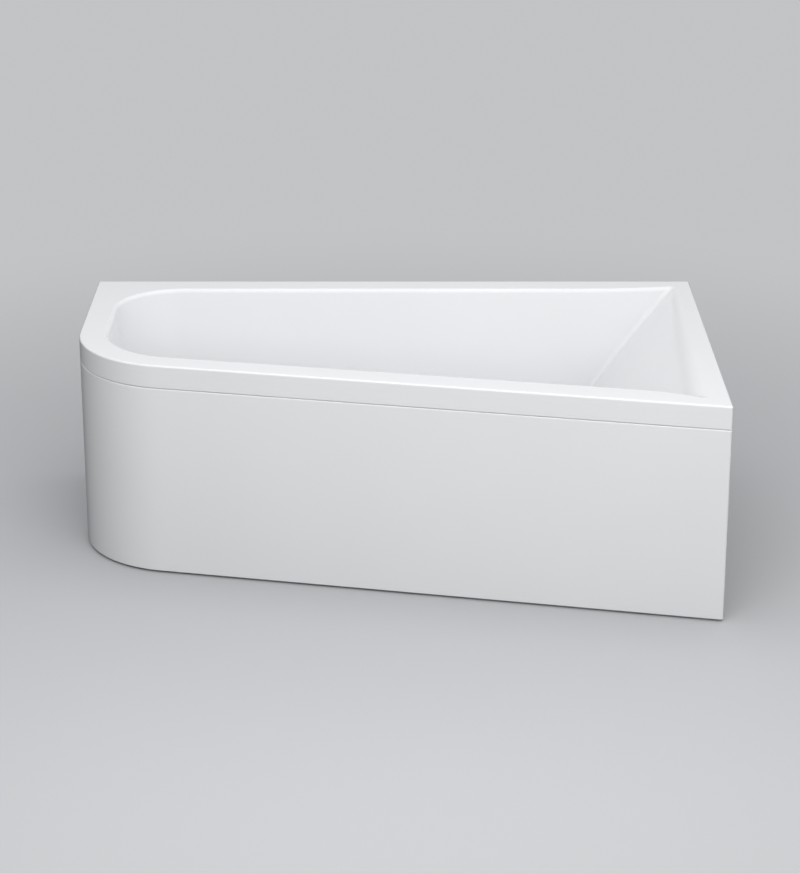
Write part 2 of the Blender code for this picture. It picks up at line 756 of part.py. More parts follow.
def make_rails():
    """Two inverted steel channels across the base board, each drilled for two rods and two screws."""
    half = RAIL_WIDTH / 2
    for side, x in zip(("left", "right"), RAIL_XS):
        front, rear = rail_ends(x)
        section = [(half, -RAIL_HEIGHT), (half, 0), (-half, 0), (-half, -RAIL_HEIGHT)]
        mesh = strip_mesh(f"leg_rail_{side}", section, rear - front, RAIL_WALL)
        rail = bpy.data.objects.new(f"leg_rail_{side}", mesh)
        link(rail, ZINC_STEEL, (x, (front + rear) / 2, RAIL_TOP))
        holes = [(y, ROD_RADIUS + RUNNING_GAP) for y in foot_ys(x)]
        holes += [(y, SCREW_RADIUS + GAP) for y in screw_ys(x)]
        for y, radius in holes:
            drill = cutter(
                "rail_drill",
                rod_mesh("rail_drill", radius, OVERRUN),
                Matrix.Translation((x, y, RAIL_TOP)),
            )
            combine(rail, drill, "DIFFERENCE")
        applied(rail)


def make_rail_screws():
    """Pan-head screws up through each channel into the board."""
    tip = BOARD_BOTTOM + SCREW_BITE - WEB_BOTTOM
    profile = [
        (0, tip),
        (SCREW_RADIUS, tip - SCREW_RADIUS),
        (SCREW_RADIUS, -GAP),
        (SCREW_HEAD_RADIUS, -GAP),
        (SCREW_HEAD_RADIUS, -GAP - SCREW_HEAD_HEIGHT / 2),
        (0, -GAP - SCREW_HEAD_HEIGHT),
    ]
    number = 0
    for x in RAIL_XS:
        for y in screw_ys(x):
            number += 1
            place = (x, y, WEB_BOTTOM)
            screw = turned(f"rail_screw_{number}", profile, ZINC_STEEL, False, place, steps=SMALL_TURN_STEPS)
            applied(screw)


def nut_mesh():
    """A hexagon nut along Z with its middle at the origin."""
    nut = bpy.data.objects.new("nut", rod_mesh("nut", NUT_RADIUS, NUT_HEIGHT, NUT_SIDES))
    CUTTERS.objects.link(nut)
    bore = cutter("nut_bore", rod_mesh("nut_bore", ROD_RADIUS + RUNNING_GAP, OVERRUN), Matrix())
    combine(nut, bore, "DIFFERENCE")
    mesh = evaluated_mesh(nut, "nut")
    bpy.data.objects.remove(nut)
    bpy.data.objects.remove(bore)
    return mesh


def make_feet():
    """Four feet: a threaded rod through the channel, a nut on each side of it, and a pad."""
    nut = nut_mesh()
    nut.materials.append(ZINC_STEEL)
    rod_bottom = PAD_HEIGHT - PAD_SOCKET_DEPTH + GAP
    rod_top = RAIL_TOP + ROD_TOP_LENGTH
    rod = rod_mesh("foot_rod", ROD_RADIUS, rod_top - rod_bottom)
    rod.materials.append(ZINC_STEEL)
    smooth(rod)
    socket = ROD_RADIUS + GAP
    pad_profile = [
        (0, PAD_HEIGHT - PAD_SOCKET_DEPTH),
        (socket, PAD_HEIGHT - PAD_SOCKET_DEPTH),
        (socket, PAD_HEIGHT),
        (PAD_NECK_RADIUS - PAD_CHAMFER, PAD_HEIGHT),
        (PAD_NECK_RADIUS, PAD_HEIGHT - PAD_CHAMFER),
        (PAD_NECK_RADIUS, PAD_RIM_HEIGHT + PAD_CHAMFER),
        (PAD_RADIUS - PAD_CHAMFER, PAD_RIM_HEIGHT),
        (PAD_RADIUS, PAD_RIM_HEIGHT - PAD_CHAMFER),
        (PAD_RADIUS, PAD_CHAMFER),
        (PAD_RADIUS - PAD_CHAMFER, 0),
        (0, 0),
    ]
    number = 0
    for x in RAIL_XS:
        for y in foot_ys(x):
            number += 1
            axis = bpy.data.objects.new(f"foot_axis_{number}", None)
            link(axis, None, (x, y, 0))
            place = (0, 0, (rod_bottom + rod_top) / 2)
            link(bpy.data.objects.new(f"foot_rod_{number}", rod), None, place, parent=axis)
            pad = turned(
                f"foot_pad_{number}", pad_profile, BLACK_PLASTIC, False, parent=axis, steps=PAD_STEPS
            )
            applied(pad)
            above = RAIL_TOP + GAP + NUT_HEIGHT / 2
            below = WEB_BOTTOM - GAP - NUT_HEIGHT / 2
            link(bpy.data.objects.new(f"foot_top_nut_{number}", nut), None, (x, y, above))
            link(bpy.data.objects.new(f"foot_lock_nut_{number}", nut), None, (x, y, below))


def along_front(along, inset, z):
    """A point this far along the front from its left-hand end, set in square to it."""
    spot = OUTER_CORNERS[1] + FRONT_ALONG * along + FRONT_INWARD * inset
    return (spot.x, spot.y, z)


def make_battens():
    """Plywood strips glued under the rim, which the apron's clips are screwed to."""
    height = RIM_UNDERSIDE - GAP - SKIRT_BOTTOM
    inset = RIM_EDGE_RADIUS + RIM_PLAY + BATTEN_THICKNESS / 2
    z = SKIRT_BOTTOM + height / 2
    front = bpy.data.objects.new(
        "rim_batten_front",
        box_mesh("rim_batten_front", (FRONT_BATTEN_LENGTH, BATTEN_THICKNESS, height)),
    )
    middle = FRONT_BATTEN_START + FRONT_BATTEN_LENGTH / 2
    link(front, PLYWOOD, along_front(middle, inset, z), (0, 0, -FRONT_TURN))
    left = bpy.data.objects.new(
        "rim_batten_left",
        box_mesh("rim_batten_left", (BATTEN_THICKNESS, LEFT_BATTEN_LENGTH, height)),
    )
    middle = REAR_Y - LEFT_BATTEN_START - LEFT_BATTEN_LENGTH / 2
    link(left, PLYWOOD, (LEFT_X + inset, middle, z))


def panel_chain(inset, z):
    """The apron's line in plan: down the left side, round the nose, along the front and a short
    way up the right-hand end."""
    corners = inset_corners([(inset, inset)] * 4)
    start = Vector((corners[0].x, REAR_Y - PANEL_WALL_GAP))
    end = Vector((corners[2].x, FRONT_Y + PANEL_END_RETURN))
    radii = [max(radius - inset, LEAST_RADIUS) for radius in OUTER_RADII]
    nose = corner_arc(start, corners[1], corners[2], radii[1], ARC_STEPS[1])
    heel = corner_arc(corners[1], corners[2], end, radii[2], ARC_STEPS[2])
    points = [start] + between(start, nose[0], SIDE_STEPS[0]) + nose
    points += between(nose[-1], heel[0], SIDE_STEPS[1]) + heel + [end]
    return [Vector((point.x, point.y, z)) for point in points]


def make_panel():
    """The one-piece apron, with its top, bottom and right-hand edges turned in."""
    radius = PANEL_EDGE_RADIUS
    section = [(PANEL_RETURN, PANEL_BOTTOM)]
    for k in range(EDGE_STEPS + 1):
        turn = math.pi / 2 * k / EDGE_STEPS
        section.append((radius * (1 - math.sin(turn)), PANEL_BOTTOM + radius * (1 - math.cos(turn))))
    for k in range(EDGE_STEPS + 1):
        turn = math.pi / 2 * k / EDGE_STEPS
        section.append((radius * (1 - math.cos(turn)), PANEL_TOP - radius * (1 - math.sin(turn))))
    section.append((PANEL_RETURN, PANEL_TOP))
    bm = bmesh.new()
    rows = [[bm.verts.new(point) for point in panel_chain(inset, z)] for inset, z in section]
    for lower, upper in zip(rows, rows[1:]):
        for k in range(len(lower) - 1):
            bm.faces.new((lower[k], lower[k + 1], upper[k + 1], upper[k]))
    panel = bpy.data.objects.new("apron_panel", mesh_of("apron_panel", bm))
    link(panel, ACRYLIC)
    skinned(panel, PANEL_WALL)
    applied(panel)
    stiffener = bpy.data.objects.new(
        "apron_stiffener",
        box_mesh("apron_stiffener", (STIFFENER_LENGTH, STIFFENER_THICKNESS, STIFFENER_HEIGHT)),
    )
    place = along_front(
        STIFFENER_START + STIFFENER_LENGTH / 2,
        PANEL_WALL + GAP + STIFFENER_THICKNESS / 2,
        STIFFENER_Z,
    )
    link(stiffener, PLYWOOD, place, (0, 0, -FRONT_TURN))


def make_clips():
    """Bent spring clips behind the battens, whose lower legs carry the apron's turned-in edge."""
    behind = RIM_EDGE_RADIUS + RIM_PLAY + BATTEN_THICKNESS + GAP
    shelf = PANEL_TOP - PANEL_WALL - GAP
    section = [(0, CLIP_RISE), (0, 0), (-CLIP_REACH, 0)]
    mesh = strip_mesh("apron_clip", section, CLIP_WIDTH, CLIP_WALL)
    mesh.materials.append(ZINC_STEEL)
    for number, share in enumerate(CLIP_SHARES, 1):
        clip = bpy.data.objects.new(f"apron_clip_{number}", mesh)
        along = FRONT_BATTEN_START + FRONT_BATTEN_LENGTH * share
        link(clip, None, along_front(along, behind, shelf), (0, 0, math.pi / 2 - FRONT_TURN))
    clip = bpy.data.objects.new(f"apron_clip_{len(CLIP_SHARES) + 1}", mesh)
    link(clip, None, (LEFT_X + behind, REAR_Y - LEFT_CLIP_PLACE, shelf))


def make_floor_brackets():
    """Angles screwed to the floor behind the apron's bottom edge."""
    section = [(0, BRACKET_RISE), (0, 0), (BRACKET_FOOT, 0)]
    mesh = strip_mesh("floor_bracket", section, BRACKET_WIDTH, BRACKET_WALL)
    mesh.materials.append(ZINC_STEEL)
    inset = PANEL_RETURN + GAP
    span = FRONT_LENGTH - BRACKET_START - BRACKET_END_INSET
    for number, share in enumerate(BRACKET_SHARES, 1):
        bracket = bpy.data.objects.new(f"floor_bracket_{number}", mesh)
        along = BRACKET_START + span * share
        link(bracket, None, along_front(along, inset, 0), (0, 0, math.pi / 2 - FRONT_TURN))


def make_hangers():
    """Angles for the walls, under the rim at the rear and at the right-hand end."""
    top = RIM_UNDERSIDE - GAP
    section = [(0, -HANGER_RISE), (0, 0), (-HANGER_REACH, 0)]
    mesh = strip_mesh("wall_bracket", section, BRACKET_WIDTH, BRACKET_WALL)
    mesh.materials.append(ZINC_STEEL)
    inset = RIM_EDGE_RADIUS + RIM_PLAY
    for number, x in enumerate(REAR_HANGER_XS, 1):
        hanger = bpy.data.objects.new(f"wall_bracket_{number}", mesh)
        link(hanger, None, (x, REAR_Y - inset, top), (0, 0, math.pi / 2))
    hanger = bpy.data.objects.new(f"wall_bracket_{len(REAR_HANGER_XS) + 1}", mesh)
    link(hanger, None, (RIGHT_X - inset, RIGHT_HANGER_Y, top))


def make_waste():
    """Flange, gasket and cup-shaped body clamped on the drain hole, with the lifting plug."""
    drain = (DRAIN_X, DRAIN_Y, 0)
    flange_bottom = SEAT_TOP + GAP
    flange_top = flange_bottom + FLANGE_THICKNESS
    flange = [
        (FLANGE_BORE, flange_top),
        (FLANGE_RADIUS, flange_top),
        (FLANGE_RADIUS, flange_bottom),
        (FLANGE_TUBE_RADIUS, flange_bottom),
        (FLANGE_TUBE_RADIUS, flange_bottom - FLANGE_TUBE_LENGTH),
        (FLANGE_BORE, flange_bottom - FLANGE_TUBE_LENGTH),
    ]
    applied(turned("waste_flange", flange, CHROME, True, drain))
    gasket_top = SEAT_BOTTOM - GAP
    gasket = [
        (GASKET_INNER_RADIUS, gasket_top),
        (GASKET_OUTER_RADIUS, gasket_top),
        (GASKET_OUTER_RADIUS, gasket_top - GASKET_THICKNESS),
        (GASKET_INNER_RADIUS, gasket_top - GASKET_THICKNESS),
    ]
    applied(turned("waste_gasket", gasket, RUBBER, True, drain))
    cone_bottom = BODY_BOTTOM - BODY_CONE_HEIGHT
    body = [
        (BODY_BORE, BODY_TOP),
        (GASKET_OUTER_RADIUS, BODY_TOP),
        (GASKET_OUTER_RADIUS, BODY_TOP - BODY_FLANGE_THICKNESS),
        (BODY_RADIUS, BODY_TOP - BODY_FLANGE_THICKNESS),
        (BODY_RADIUS, BODY_BOTTOM),
        (NIPPLE_RADIUS, cone_bottom),
        (NIPPLE_RADIUS, NIPPLE_BOTTOM),
        (NIPPLE_BORE, NIPPLE_BOTTOM),
        (NIPPLE_BORE, cone_bottom + BODY_WALL),
        (BODY_BORE, BODY_BOTTOM + BODY_WALL),
    ]
    waste = turned("waste_body", body, GREY_PLASTIC, True, drain)
    reach = BODY_RADIUS + SPIGOT_LENGTH
    side = Matrix.Translation((DRAIN_X, DRAIN_Y - reach / 2, SPIGOT_Z)) @ Matrix.Rotation(math.pi / 2, 4, "X")
    spigot = cutter("waste_spigot", rod_mesh("waste_spigot", SPIGOT_RADIUS, reach, TURN_STEPS), side)
    combine(waste, spigot, "UNION")
    inside = cutter(
        "waste_inside",
        rod_mesh("waste_inside", BODY_BORE, BODY_HEIGHT, TURN_STEPS),
        Matrix.Translation((DRAIN_X, DRAIN_Y, BODY_BOTTOM + BODY_WALL + BODY_HEIGHT / 2)),
    )
    combine(waste, inside, "DIFFERENCE")
    bore_length = reach + OVERRUN
    bore_place = Matrix.Translation((DRAIN_X, DRAIN_Y - bore_length / 2, SPIGOT_Z))
    bore_place = bore_place @ Matrix.Rotation(math.pi / 2, 4, "X")
    bore = cutter("waste_spigot_bore", rod_mesh("waste_spigot_bore", SPIGOT_BORE, bore_length), bore_place)
    combine(waste, bore, "DIFFERENCE")
    applied(waste)

    axis = bpy.data.objects.new("plug_axis", None)
    link(axis, None, (DRAIN_X, DRAIN_Y, flange_top + GAP))
    plug = [
        (0, PLUG_EDGE + PLUG_CROWN),
        (PLUG_RADIUS / 3, PLUG_EDGE + PLUG_CROWN * 8 / 9),
        (PLUG_RADIUS * 2 / 3, PLUG_EDGE + PLUG_CROWN * 5 / 9),
        (PLUG_RADIUS, PLUG_EDGE),
        (PLUG_RADIUS, 0),
        (STEM_RADIUS + GAP, 0),
        (STEM_RADIUS + GAP, STEM_SOCKET_DEPTH),
        (0, STEM_SOCKET_DEPTH),
    ]
    applied(turned("waste_plug", plug, CHROME, False, parent=axis))
    seal_inner = PLUG_SEAL_RADIUS - PLUG_SEAL_WALL
    seal_top = -GAP
    seal = [
        (seal_inner, seal_top),
        (PLUG_SEAL_RADIUS, seal_top),
        (PLUG_SEAL_RADIUS, seal_top - PLUG_SEAL_HEIGHT),
        (seal_inner, seal_top - PLUG_SEAL_HEIGHT),
    ]
    applied(turned("plug_seal", seal, RUBBER, True, parent=axis))
    stem_top = STEM_SOCKET_DEPTH - GAP
    stem = [
        (0, stem_top),
        (STEM_RADIUS, stem_top),
        (STEM_RADIUS, -GAP),
        (STEM_RADIUS, -GAP - PLUG_SEAL_HEIGHT),
        (STEM_RADIUS, stem_top - STEM_LENGTH + STEM_RADIUS),
        (0, stem_top - STEM_LENGTH),
    ]
    applied(turned("plug_stem", stem, CHROME, False, parent=axis, steps=SMALL_TURN_STEPS))


def make_overflow():
    """The overflow fitting: bezel, turning knob and spindle in front, gasket and body behind."""
    frame = bpy.data.objects.new("overflow_frame", None)
    link(frame, None)
    frame.matrix_world = OVERFLOW
    bezel_top = GAP + BEZEL_THICKNESS
    bore = SPINDLE_RADIUS + RUNNING_GAP
    bezel_profile = [(bore, bezel_top), (BEZEL_RADIUS, bezel_top), (BEZEL_RADIUS, GAP), (bore, GAP)]
    bezel = turned("overflow_bezel", bezel_profile, CHROME, True, parent=frame)
    for k in range(BEZEL_INLETS):
        turn = 2 * math.pi * k / BEZEL_INLETS
        spot = (BEZEL_INLET_CIRCLE * math.cos(turn), BEZEL_INLET_CIRCLE * math.sin(turn), 0)
        inlet = cutter(
            "bezel_inlet",
            rod_mesh("bezel_inlet", BEZEL_INLET_RADIUS, OVERRUN),
            OVERFLOW @ Matrix.Translation(spot),
        )
        combine(bezel, inlet, "DIFFERENCE")
    applied(bezel)

    knob_bottom = bezel_top + KNOB_STANDOFF
    knob_top = knob_bottom + KNOB_THICKNESS
    socket = SPINDLE_RADIUS + GAP
    knob_profile = [
        (0, knob_top),
        (KNOB_RADIUS - KNOB_EDGE, knob_top),
        (KNOB_RADIUS, knob_top - KNOB_EDGE),
        (KNOB_RADIUS, knob_bottom),
        (socket, knob_bottom),
        (socket, knob_bottom + KNOB_SOCKET_DEPTH),
        (0, knob_bottom + KNOB_SOCKET_DEPTH),
    ]
    knob = turned("overflow_knob", knob_profile, CHROME, False, parent=frame)
    for k in range(KNOB_NOTCHES):
        turn = 2 * math.pi * k / KNOB_NOTCHES + math.pi / 2
        spot = (KNOB_RADIUS * math.cos(turn), KNOB_RADIUS * math.sin(turn), knob_bottom)
        notch = cutter(
            "knob_notch",
            rod_mesh("knob_notch", KNOB_NOTCH_RADIUS, 3 * KNOB_THICKNESS),
            OVERFLOW @ Matrix.Translation(spot),
        )
        combine(knob, notch, "DIFFERENCE")
    applied(knob)
    spindle_top = knob_bottom + KNOB_SOCKET_DEPTH - GAP
    length = spindle_top + SPINDLE_BACK_LENGTH
    spindle = bpy.data.objects.new("overflow_spindle", rod_mesh("overflow_spindle", SPINDLE_RADIUS, length))
    smooth(spindle.data)
    link(spindle, ZINC_STEEL, (0, 0, spindle_top - length / 2), parent=frame)

    gasket_top = -SHELL_WALL - BACKING_WALL - 2 * GAP
    gasket_bottom = gasket_top - OVERFLOW_GASKET_THICKNESS
    gasket = [
        (OVERFLOW_HOLE_RADIUS, gasket_top),
        (OVERFLOW_BODY_RADIUS, gasket_top),
        (OVERFLOW_BODY_RADIUS, gasket_bottom),
        (OVERFLOW_HOLE_RADIUS, gasket_bottom),
    ]
    applied(turned("overflow_gasket", gasket, RUBBER, True, parent=frame))
    body_top = gasket_bottom - GAP
    body_bottom = body_top - OVERFLOW_BODY_DEPTH
    back = body_bottom + OVERFLOW_BACK_WALL
    body_profile = [
        (OVERFLOW_BODY_BORE, body_top),
        (OVERFLOW_BODY_RADIUS, body_top),
        (OVERFLOW_BODY_RADIUS, body_bottom),
        (bore, body_bottom),
        (bore, back),
        (OVERFLOW_BODY_BORE, back),
    ]
    body = turned("overflow_body", body_profile, GREY_PLASTIC, True, parent=frame)
    middle = (body_top + body_bottom) / 2
    reach = OVERFLOW_BODY_RADIUS + OVERFLOW_SPIGOT_LENGTH
    downward = Matrix.Rotation(math.pi / 2, 4, "X")
    spigot = cutter(
        "overflow_spigot",
        rod_mesh("overflow_spigot", SPIGOT_RADIUS, reach, TURN_STEPS),
        OVERFLOW @ Matrix.Translation((0, -reach / 2, middle)) @ downward,
    )
    combine(body, spigot, "UNION")
    inside_depth = body_top - back + OVERRUN
    inside = cutter(
        "overflow_inside",
        rod_mesh("overflow_inside", OVERFLOW_BODY_BORE, inside_depth, TURN_STEPS),
        OVERFLOW @ Matrix.Translation((0, 0, back + inside_depth / 2)),
    )
    combine(body, inside, "DIFFERENCE")
    bore_length = reach + OVERRUN
    spigot_bore = cutter(
        "overflow_spigot_bore",
        rod_mesh("overflow_spigot_bore", SPIGOT_BORE, bore_length),
        OVERFLOW @ Matrix.Translation((0, -bore_length / 2, middle)) @ downward,
    )
    combine(body, spigot_bore, "DIFFERENCE")
    applied(body)
    end = OVERFLOW @ Vector((0, -reach, middle))
    heading = (OVERFLOW.to_3x3() @ Vector((0, -1, 0))).normalized()
    return end, heading


def eased_path(start, start_heading, start_pull, end, end_heading, end_pull, count):
    """Points of a cubic curve that leaves each end along its own heading."""
    second = start + start_heading * start_pull
    third = end + end_heading * end_pull
    points = []
    for k in range(count + 1):
        t = k / count
        points.append(
            start * (1 - t) ** 3
            + second * 3 * t * (1 - t) ** 2
            + third * 3 * t**2 * (1 - t)
            + end * t**3
        )
    return points


def tube_mesh(name, points, radii):
    """A closed round tube through the points, as a mesh with its caps welded on."""
    curve = bpy.data.curves.new(name, "CURVE")
    curve.dimensions = "3D"
    curve.bevel_depth = 1
    curve.bevel_resolution = TUBE_RESOLUTION
    curve.use_fill_caps = True
    spline = curve.splines.new("POLY")
    spline.points.add(len(points[1:]))
    for place, point, radius in zip(spline.points, points, radii):
        place.co = (*point, 1)
        place.radius = radius
    helper = bpy.data.objects.new(name, curve)
    CUTTERS.objects.link(helper)
    mesh = evaluated_mesh(helper, name)
    bpy.data.objects.remove(helper)
    bm = bmesh.new()
    bm.from_mesh(mesh)
    bmesh.ops.remove_doubles(bm, verts=bm.verts, dist=GAP / 10)
    bmesh.ops.recalc_face_normals(bm, faces=bm.faces)
    bm.to_mesh(mesh)
    bm.free()
    return mesh


def make_hose(upper, upper_heading):
    """The ribbed hose from the overflow down to the waste body, with a nut at each end."""
    lower = Vector((DRAIN_X, DRAIN_Y - BODY_RADIUS - SPIGOT_LENGTH, SPIGOT_Z))
    lower_heading = Vector((0, -1, 0))
    start = upper + upper_heading * GAP
    end = lower + lower_heading * GAP
    cuff = 2 * HOSE_RADIUS
    first = start + upper_heading * cuff
    last = end + lower_heading * cuff
    spine = eased_path(
        first, upper_heading, HOSE_START_PULL, last, lower_heading, HOSE_END_PULL, 2 * HOSE_RIBS
    )
    radii = [HOSE_RADIUS if k % 2 else HOSE_ROOT_RADIUS for k in range(len(spine))]
    radii = [HOSE_ROOT_RADIUS] + radii + [HOSE_ROOT_RADIUS]
    outer = tube_mesh("overflow_hose", [start] + spine + [end], radii)
    hose = bpy.data.objects.new("overflow_hose", outer)
    link(hose, WHITE_PLASTIC)
    over = OVERRUN
    bore_points = [start - upper_heading * over] + spine[::3] + [end - lower_heading * over]
    bore = cutter(
        "hose_bore", tube_mesh("hose_bore", bore_points, [HOSE_BORE] * len(bore_points)), Matrix()
    )
    combine(hose, bore, "DIFFERENCE")
    applied(hose)
    return lower


def ring_nut(name, inner, outer, length, material, matrix):
    """A round union nut along its own Z, with its middle at the matrix's place."""
    profile = [(inner, length / 2), (outer, length / 2), (outer, -length / 2), (inner, -length / 2)]
    nut = turned(name, profile, material, True)
    nut.matrix_world = matrix
    return applied(nut)


def heading_matrix(place, heading):
    matrix = heading.to_track_quat("Z", "Y").to_matrix().to_4x4()
    matrix.translation = place
    return matrix


def make_hose_nuts(upper, upper_heading, lower):
    """The union nuts on the spigots, just short of the hose's ends."""
    inner = SPIGOT_RADIUS + GAP
    back = HOSE_NUT_LENGTH / 2 + GAP
    inward = Vector((0, 1, 0))
    ends = (
        ("upper", upper - upper_heading * back, upper_heading),
        ("lower", lower + inward * back, inward),
    )
    for end, place, heading in ends:
        ring_nut(
            f"hose_nut_{end}",
            inner,
            HOSE_NUT_RADIUS,
            HOSE_NUT_LENGTH,
            GREY_PLASTIC,
            heading_matrix(place, heading),
        )


def make_cable():
    """The cable from the knob's spindle housing down to the waste body."""
    bottom = -SHELL_WALL - BACKING_WALL - 3 * GAP - OVERFLOW_GASKET_THICKNESS
    bottom -= OVERFLOW_BODY_DEPTH * CABLE_DEPTH_SHARE
    top = OVERFLOW @ Vector((CABLE_SIDE, -math.sqrt(OVERFLOW_BODY_RADIUS**2 - CABLE_SIDE**2), bottom))
    down = (OVERFLOW.to_3x3() @ Vector((0, -1, 0))).normalized()
    start = top + down * CABLE_RADIUS
    turn = math.radians(CABLE_TURN_DEGREES)
    away = Vector((-math.sin(turn), -math.cos(turn), 0))
    end = Vector((DRAIN_X, DRAIN_Y, SPIGOT_Z)) + away * (BODY_RADIUS + GAP)
    points = eased_path(start, down, CABLE_START_PULL, end, away, CABLE_END_PULL, CABLE_POINTS)
    cable = bpy.data.objects.new(
        "bowden_cable", tube_mesh("bowden_cable", points, [CABLE_RADIUS] * len(points))
    )
    smooth(cable.data)
    link(cable, BLACK_PLASTIC)


def make_trap():
    """The low trap under the waste, and the outlet pipe to the rear."""
    drain = (DRAIN_X, DRAIN_Y, 0)
    inlet_top = NIPPLE_BOTTOM - GAP
    floor = TRAP_TOP - TRAP_HEIGHT
    dip = floor + TRAP_DIP_CLEARANCE
    profile = [
        (0, floor + TRAP_WALL),
        (TRAP_RADIUS - TRAP_WALL, floor + TRAP_WALL),
        (TRAP_RADIUS - TRAP_WALL, TRAP_TOP - TRAP_WALL),
        (NIPPLE_RADIUS, TRAP_TOP - TRAP_WALL),
        (NIPPLE_RADIUS, dip),
        (NIPPLE_BORE, dip),
        (NIPPLE_BORE, inlet_top),
        (NIPPLE_RADIUS, inlet_top),
        (NIPPLE_RADIUS, TRAP_TOP),
        (TRAP_RADIUS, TRAP_TOP),
        (TRAP_RADIUS, floor),
        (0, floor),
    ]
    trap = turned("trap_body", profile, GREY_PLASTIC, False, drain)
    outlet_z = TRAP_TOP - OUTLET_RADIUS - TRAP_WALL / 2
    start = TRAP_RADIUS - 2 * TRAP_WALL
    end = TRAP_RADIUS + OUTLET_SPIGOT_LENGTH
    sideways = Matrix.Rotation(math.pi / 2, 4, "X")
    spigot = cutter(
        "outlet_spigot",
        rod_mesh("outlet_spigot", OUTLET_RADIUS, end - start, TURN_STEPS),
        Matrix.Translation((DRAIN_X, DRAIN_Y + (start + end) / 2, outlet_z)) @ sideways,
    )
    combine(trap, spigot, "UNION")
    bore_start = NIPPLE_RADIUS + TRAP_WALL
    bore_end = end + OVERRUN
    bore = cutter(
        "outlet_bore",
        rod_mesh("outlet_bore", OUTLET_BORE, bore_end - bore_start, TURN_STEPS),
        Matrix.Translation((DRAIN_X, DRAIN_Y + (bore_start + bore_end) / 2, outlet_z)) @ sideways,
    )
    combine(trap, bore, "DIFFERENCE")
    applied(trap)
    down = Vector((0, 0, -1))
    ring_nut(
        "trap_nut",
        NIPPLE_RADIUS + GAP,
        TRAP_NUT_RADIUS,
        TRAP_NUT_HEIGHT,
        GREY_PLASTIC,
        heading_matrix(Vector((DRAIN_X, DRAIN_Y, TRAP_TOP + GAP + TRAP_NUT_HEIGHT / 2)), down),
    )
    joint_y = DRAIN_Y + end + GAP
    pipe_end = REAR_Y - OUTLET_WALL_DISTANCE
    middle = Vector((DRAIN_X, (joint_y + pipe_end) / 2, outlet_z))
    rearward = Vector((0, 1, 0))
    ring_nut(
        "outlet_pipe",
        OUTLET_BORE,
        OUTLET_RADIUS,
        pipe_end - joint_y,
        GREY_PLASTIC,
        heading_matrix(middle, rearward),
    )
    ring_nut(
        "outlet_nut",
        OUTLET_RADIUS + GAP,
        OUTLET_NUT_RADIUS,
        OUTLET_NUT_LENGTH,
        GREY_PLASTIC,
        heading_matrix(Vector((DRAIN_X, joint_y, outlet_z)), rearward),
    )


make_tub()
make_backing()
make_base_board()
make_rails()
make_rail_screws()
make_feet()
make_battens()
make_panel()
make_clips()
make_floor_brackets()
make_hangers()
make_waste()
hose_top, hose_heading = make_overflow()
hose_bottom = make_hose(hose_top, hose_heading)
make_hose_nuts(hose_top, hose_heading, hose_bottom)
make_cable()
make_trap()
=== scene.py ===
# %% [markdown]
# # A corner bath with a slanted front
#
# The object is a white acrylic bath for the corner of a room. A tub is formed from one hot sheet, a
# bent apron hides its legs, and under it sit the boards, feet, waste and overflow that make it work.
# The solids come in as a frame that is already measured. This lesson gives them their looks: it
# redraws the large curved shells with more points, and it gives each material its own surface.

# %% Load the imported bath
import math

import bmesh
import bpy
from mathutils import Matrix, Vector
from mathutils.geometry import intersect_line_line


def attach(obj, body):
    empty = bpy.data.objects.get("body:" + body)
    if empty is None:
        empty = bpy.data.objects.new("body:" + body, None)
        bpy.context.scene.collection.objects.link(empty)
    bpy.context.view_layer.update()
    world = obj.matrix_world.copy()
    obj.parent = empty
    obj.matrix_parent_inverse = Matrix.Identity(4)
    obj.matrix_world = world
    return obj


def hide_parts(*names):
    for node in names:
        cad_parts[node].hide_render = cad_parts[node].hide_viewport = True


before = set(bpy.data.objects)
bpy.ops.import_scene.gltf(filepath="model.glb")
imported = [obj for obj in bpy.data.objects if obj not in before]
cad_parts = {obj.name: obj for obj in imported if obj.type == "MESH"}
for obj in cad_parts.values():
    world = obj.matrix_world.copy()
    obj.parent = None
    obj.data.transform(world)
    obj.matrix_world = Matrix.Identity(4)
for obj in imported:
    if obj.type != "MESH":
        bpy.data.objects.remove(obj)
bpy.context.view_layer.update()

# %% [markdown]
# ## The camera
#
# A product photograph is taken from well back with a long lens, so that straight edges stay nearly
# parallel. The lens length follows from the focal length in pixels and the frame's longer side. The
# optical axis lies a little above the middle of the frame, which is what the shift is for. Moving the
# camera instead would change the perspective.

# %% Place the camera
FRAME_HEIGHT = 873
FOCAL_PIXELS = 2550
AXIS_ROW = 411
SENSOR = 36
CAMERA_PLACE = (0.01686, -6.12074, 2.59824)
CAMERA_PITCH = 20.07

camera_data = bpy.data.cameras.new("camera")
camera_data.sensor_width = SENSOR
camera_data.lens = SENSOR * FOCAL_PIXELS / FRAME_HEIGHT
camera_data.shift_y = (AXIS_ROW - FRAME_HEIGHT / 2) / FRAME_HEIGHT
camera = bpy.data.objects.new("camera", camera_data)
camera.location = CAMERA_PLACE
camera.rotation_euler = (math.radians(90 - CAMERA_PITCH), 0, 0)
bpy.context.scene.collection.objects.link(camera)
bpy.context.scene.camera = camera
bpy.context.scene.view_settings.view_transform = "Standard"
print("lens mm:", round(camera_data.lens, 2), "shift:", round(camera_data.shift_y, 4))

# %% [markdown]
# ## The floor
#
# White goods need a floor that is a little darker than they are, or their edges disappear. One large
# plane is enough. The camera sees it pale, and far away it fades into the colour of the sky, so that
# no horizon shows. But it casts back only as little light as a grey studio floor, so the front of the
# bath gets darker towards its foot. From below the plane is clear. Three helpers come first: with them
# each node of a material takes one line, and a form becomes an object.

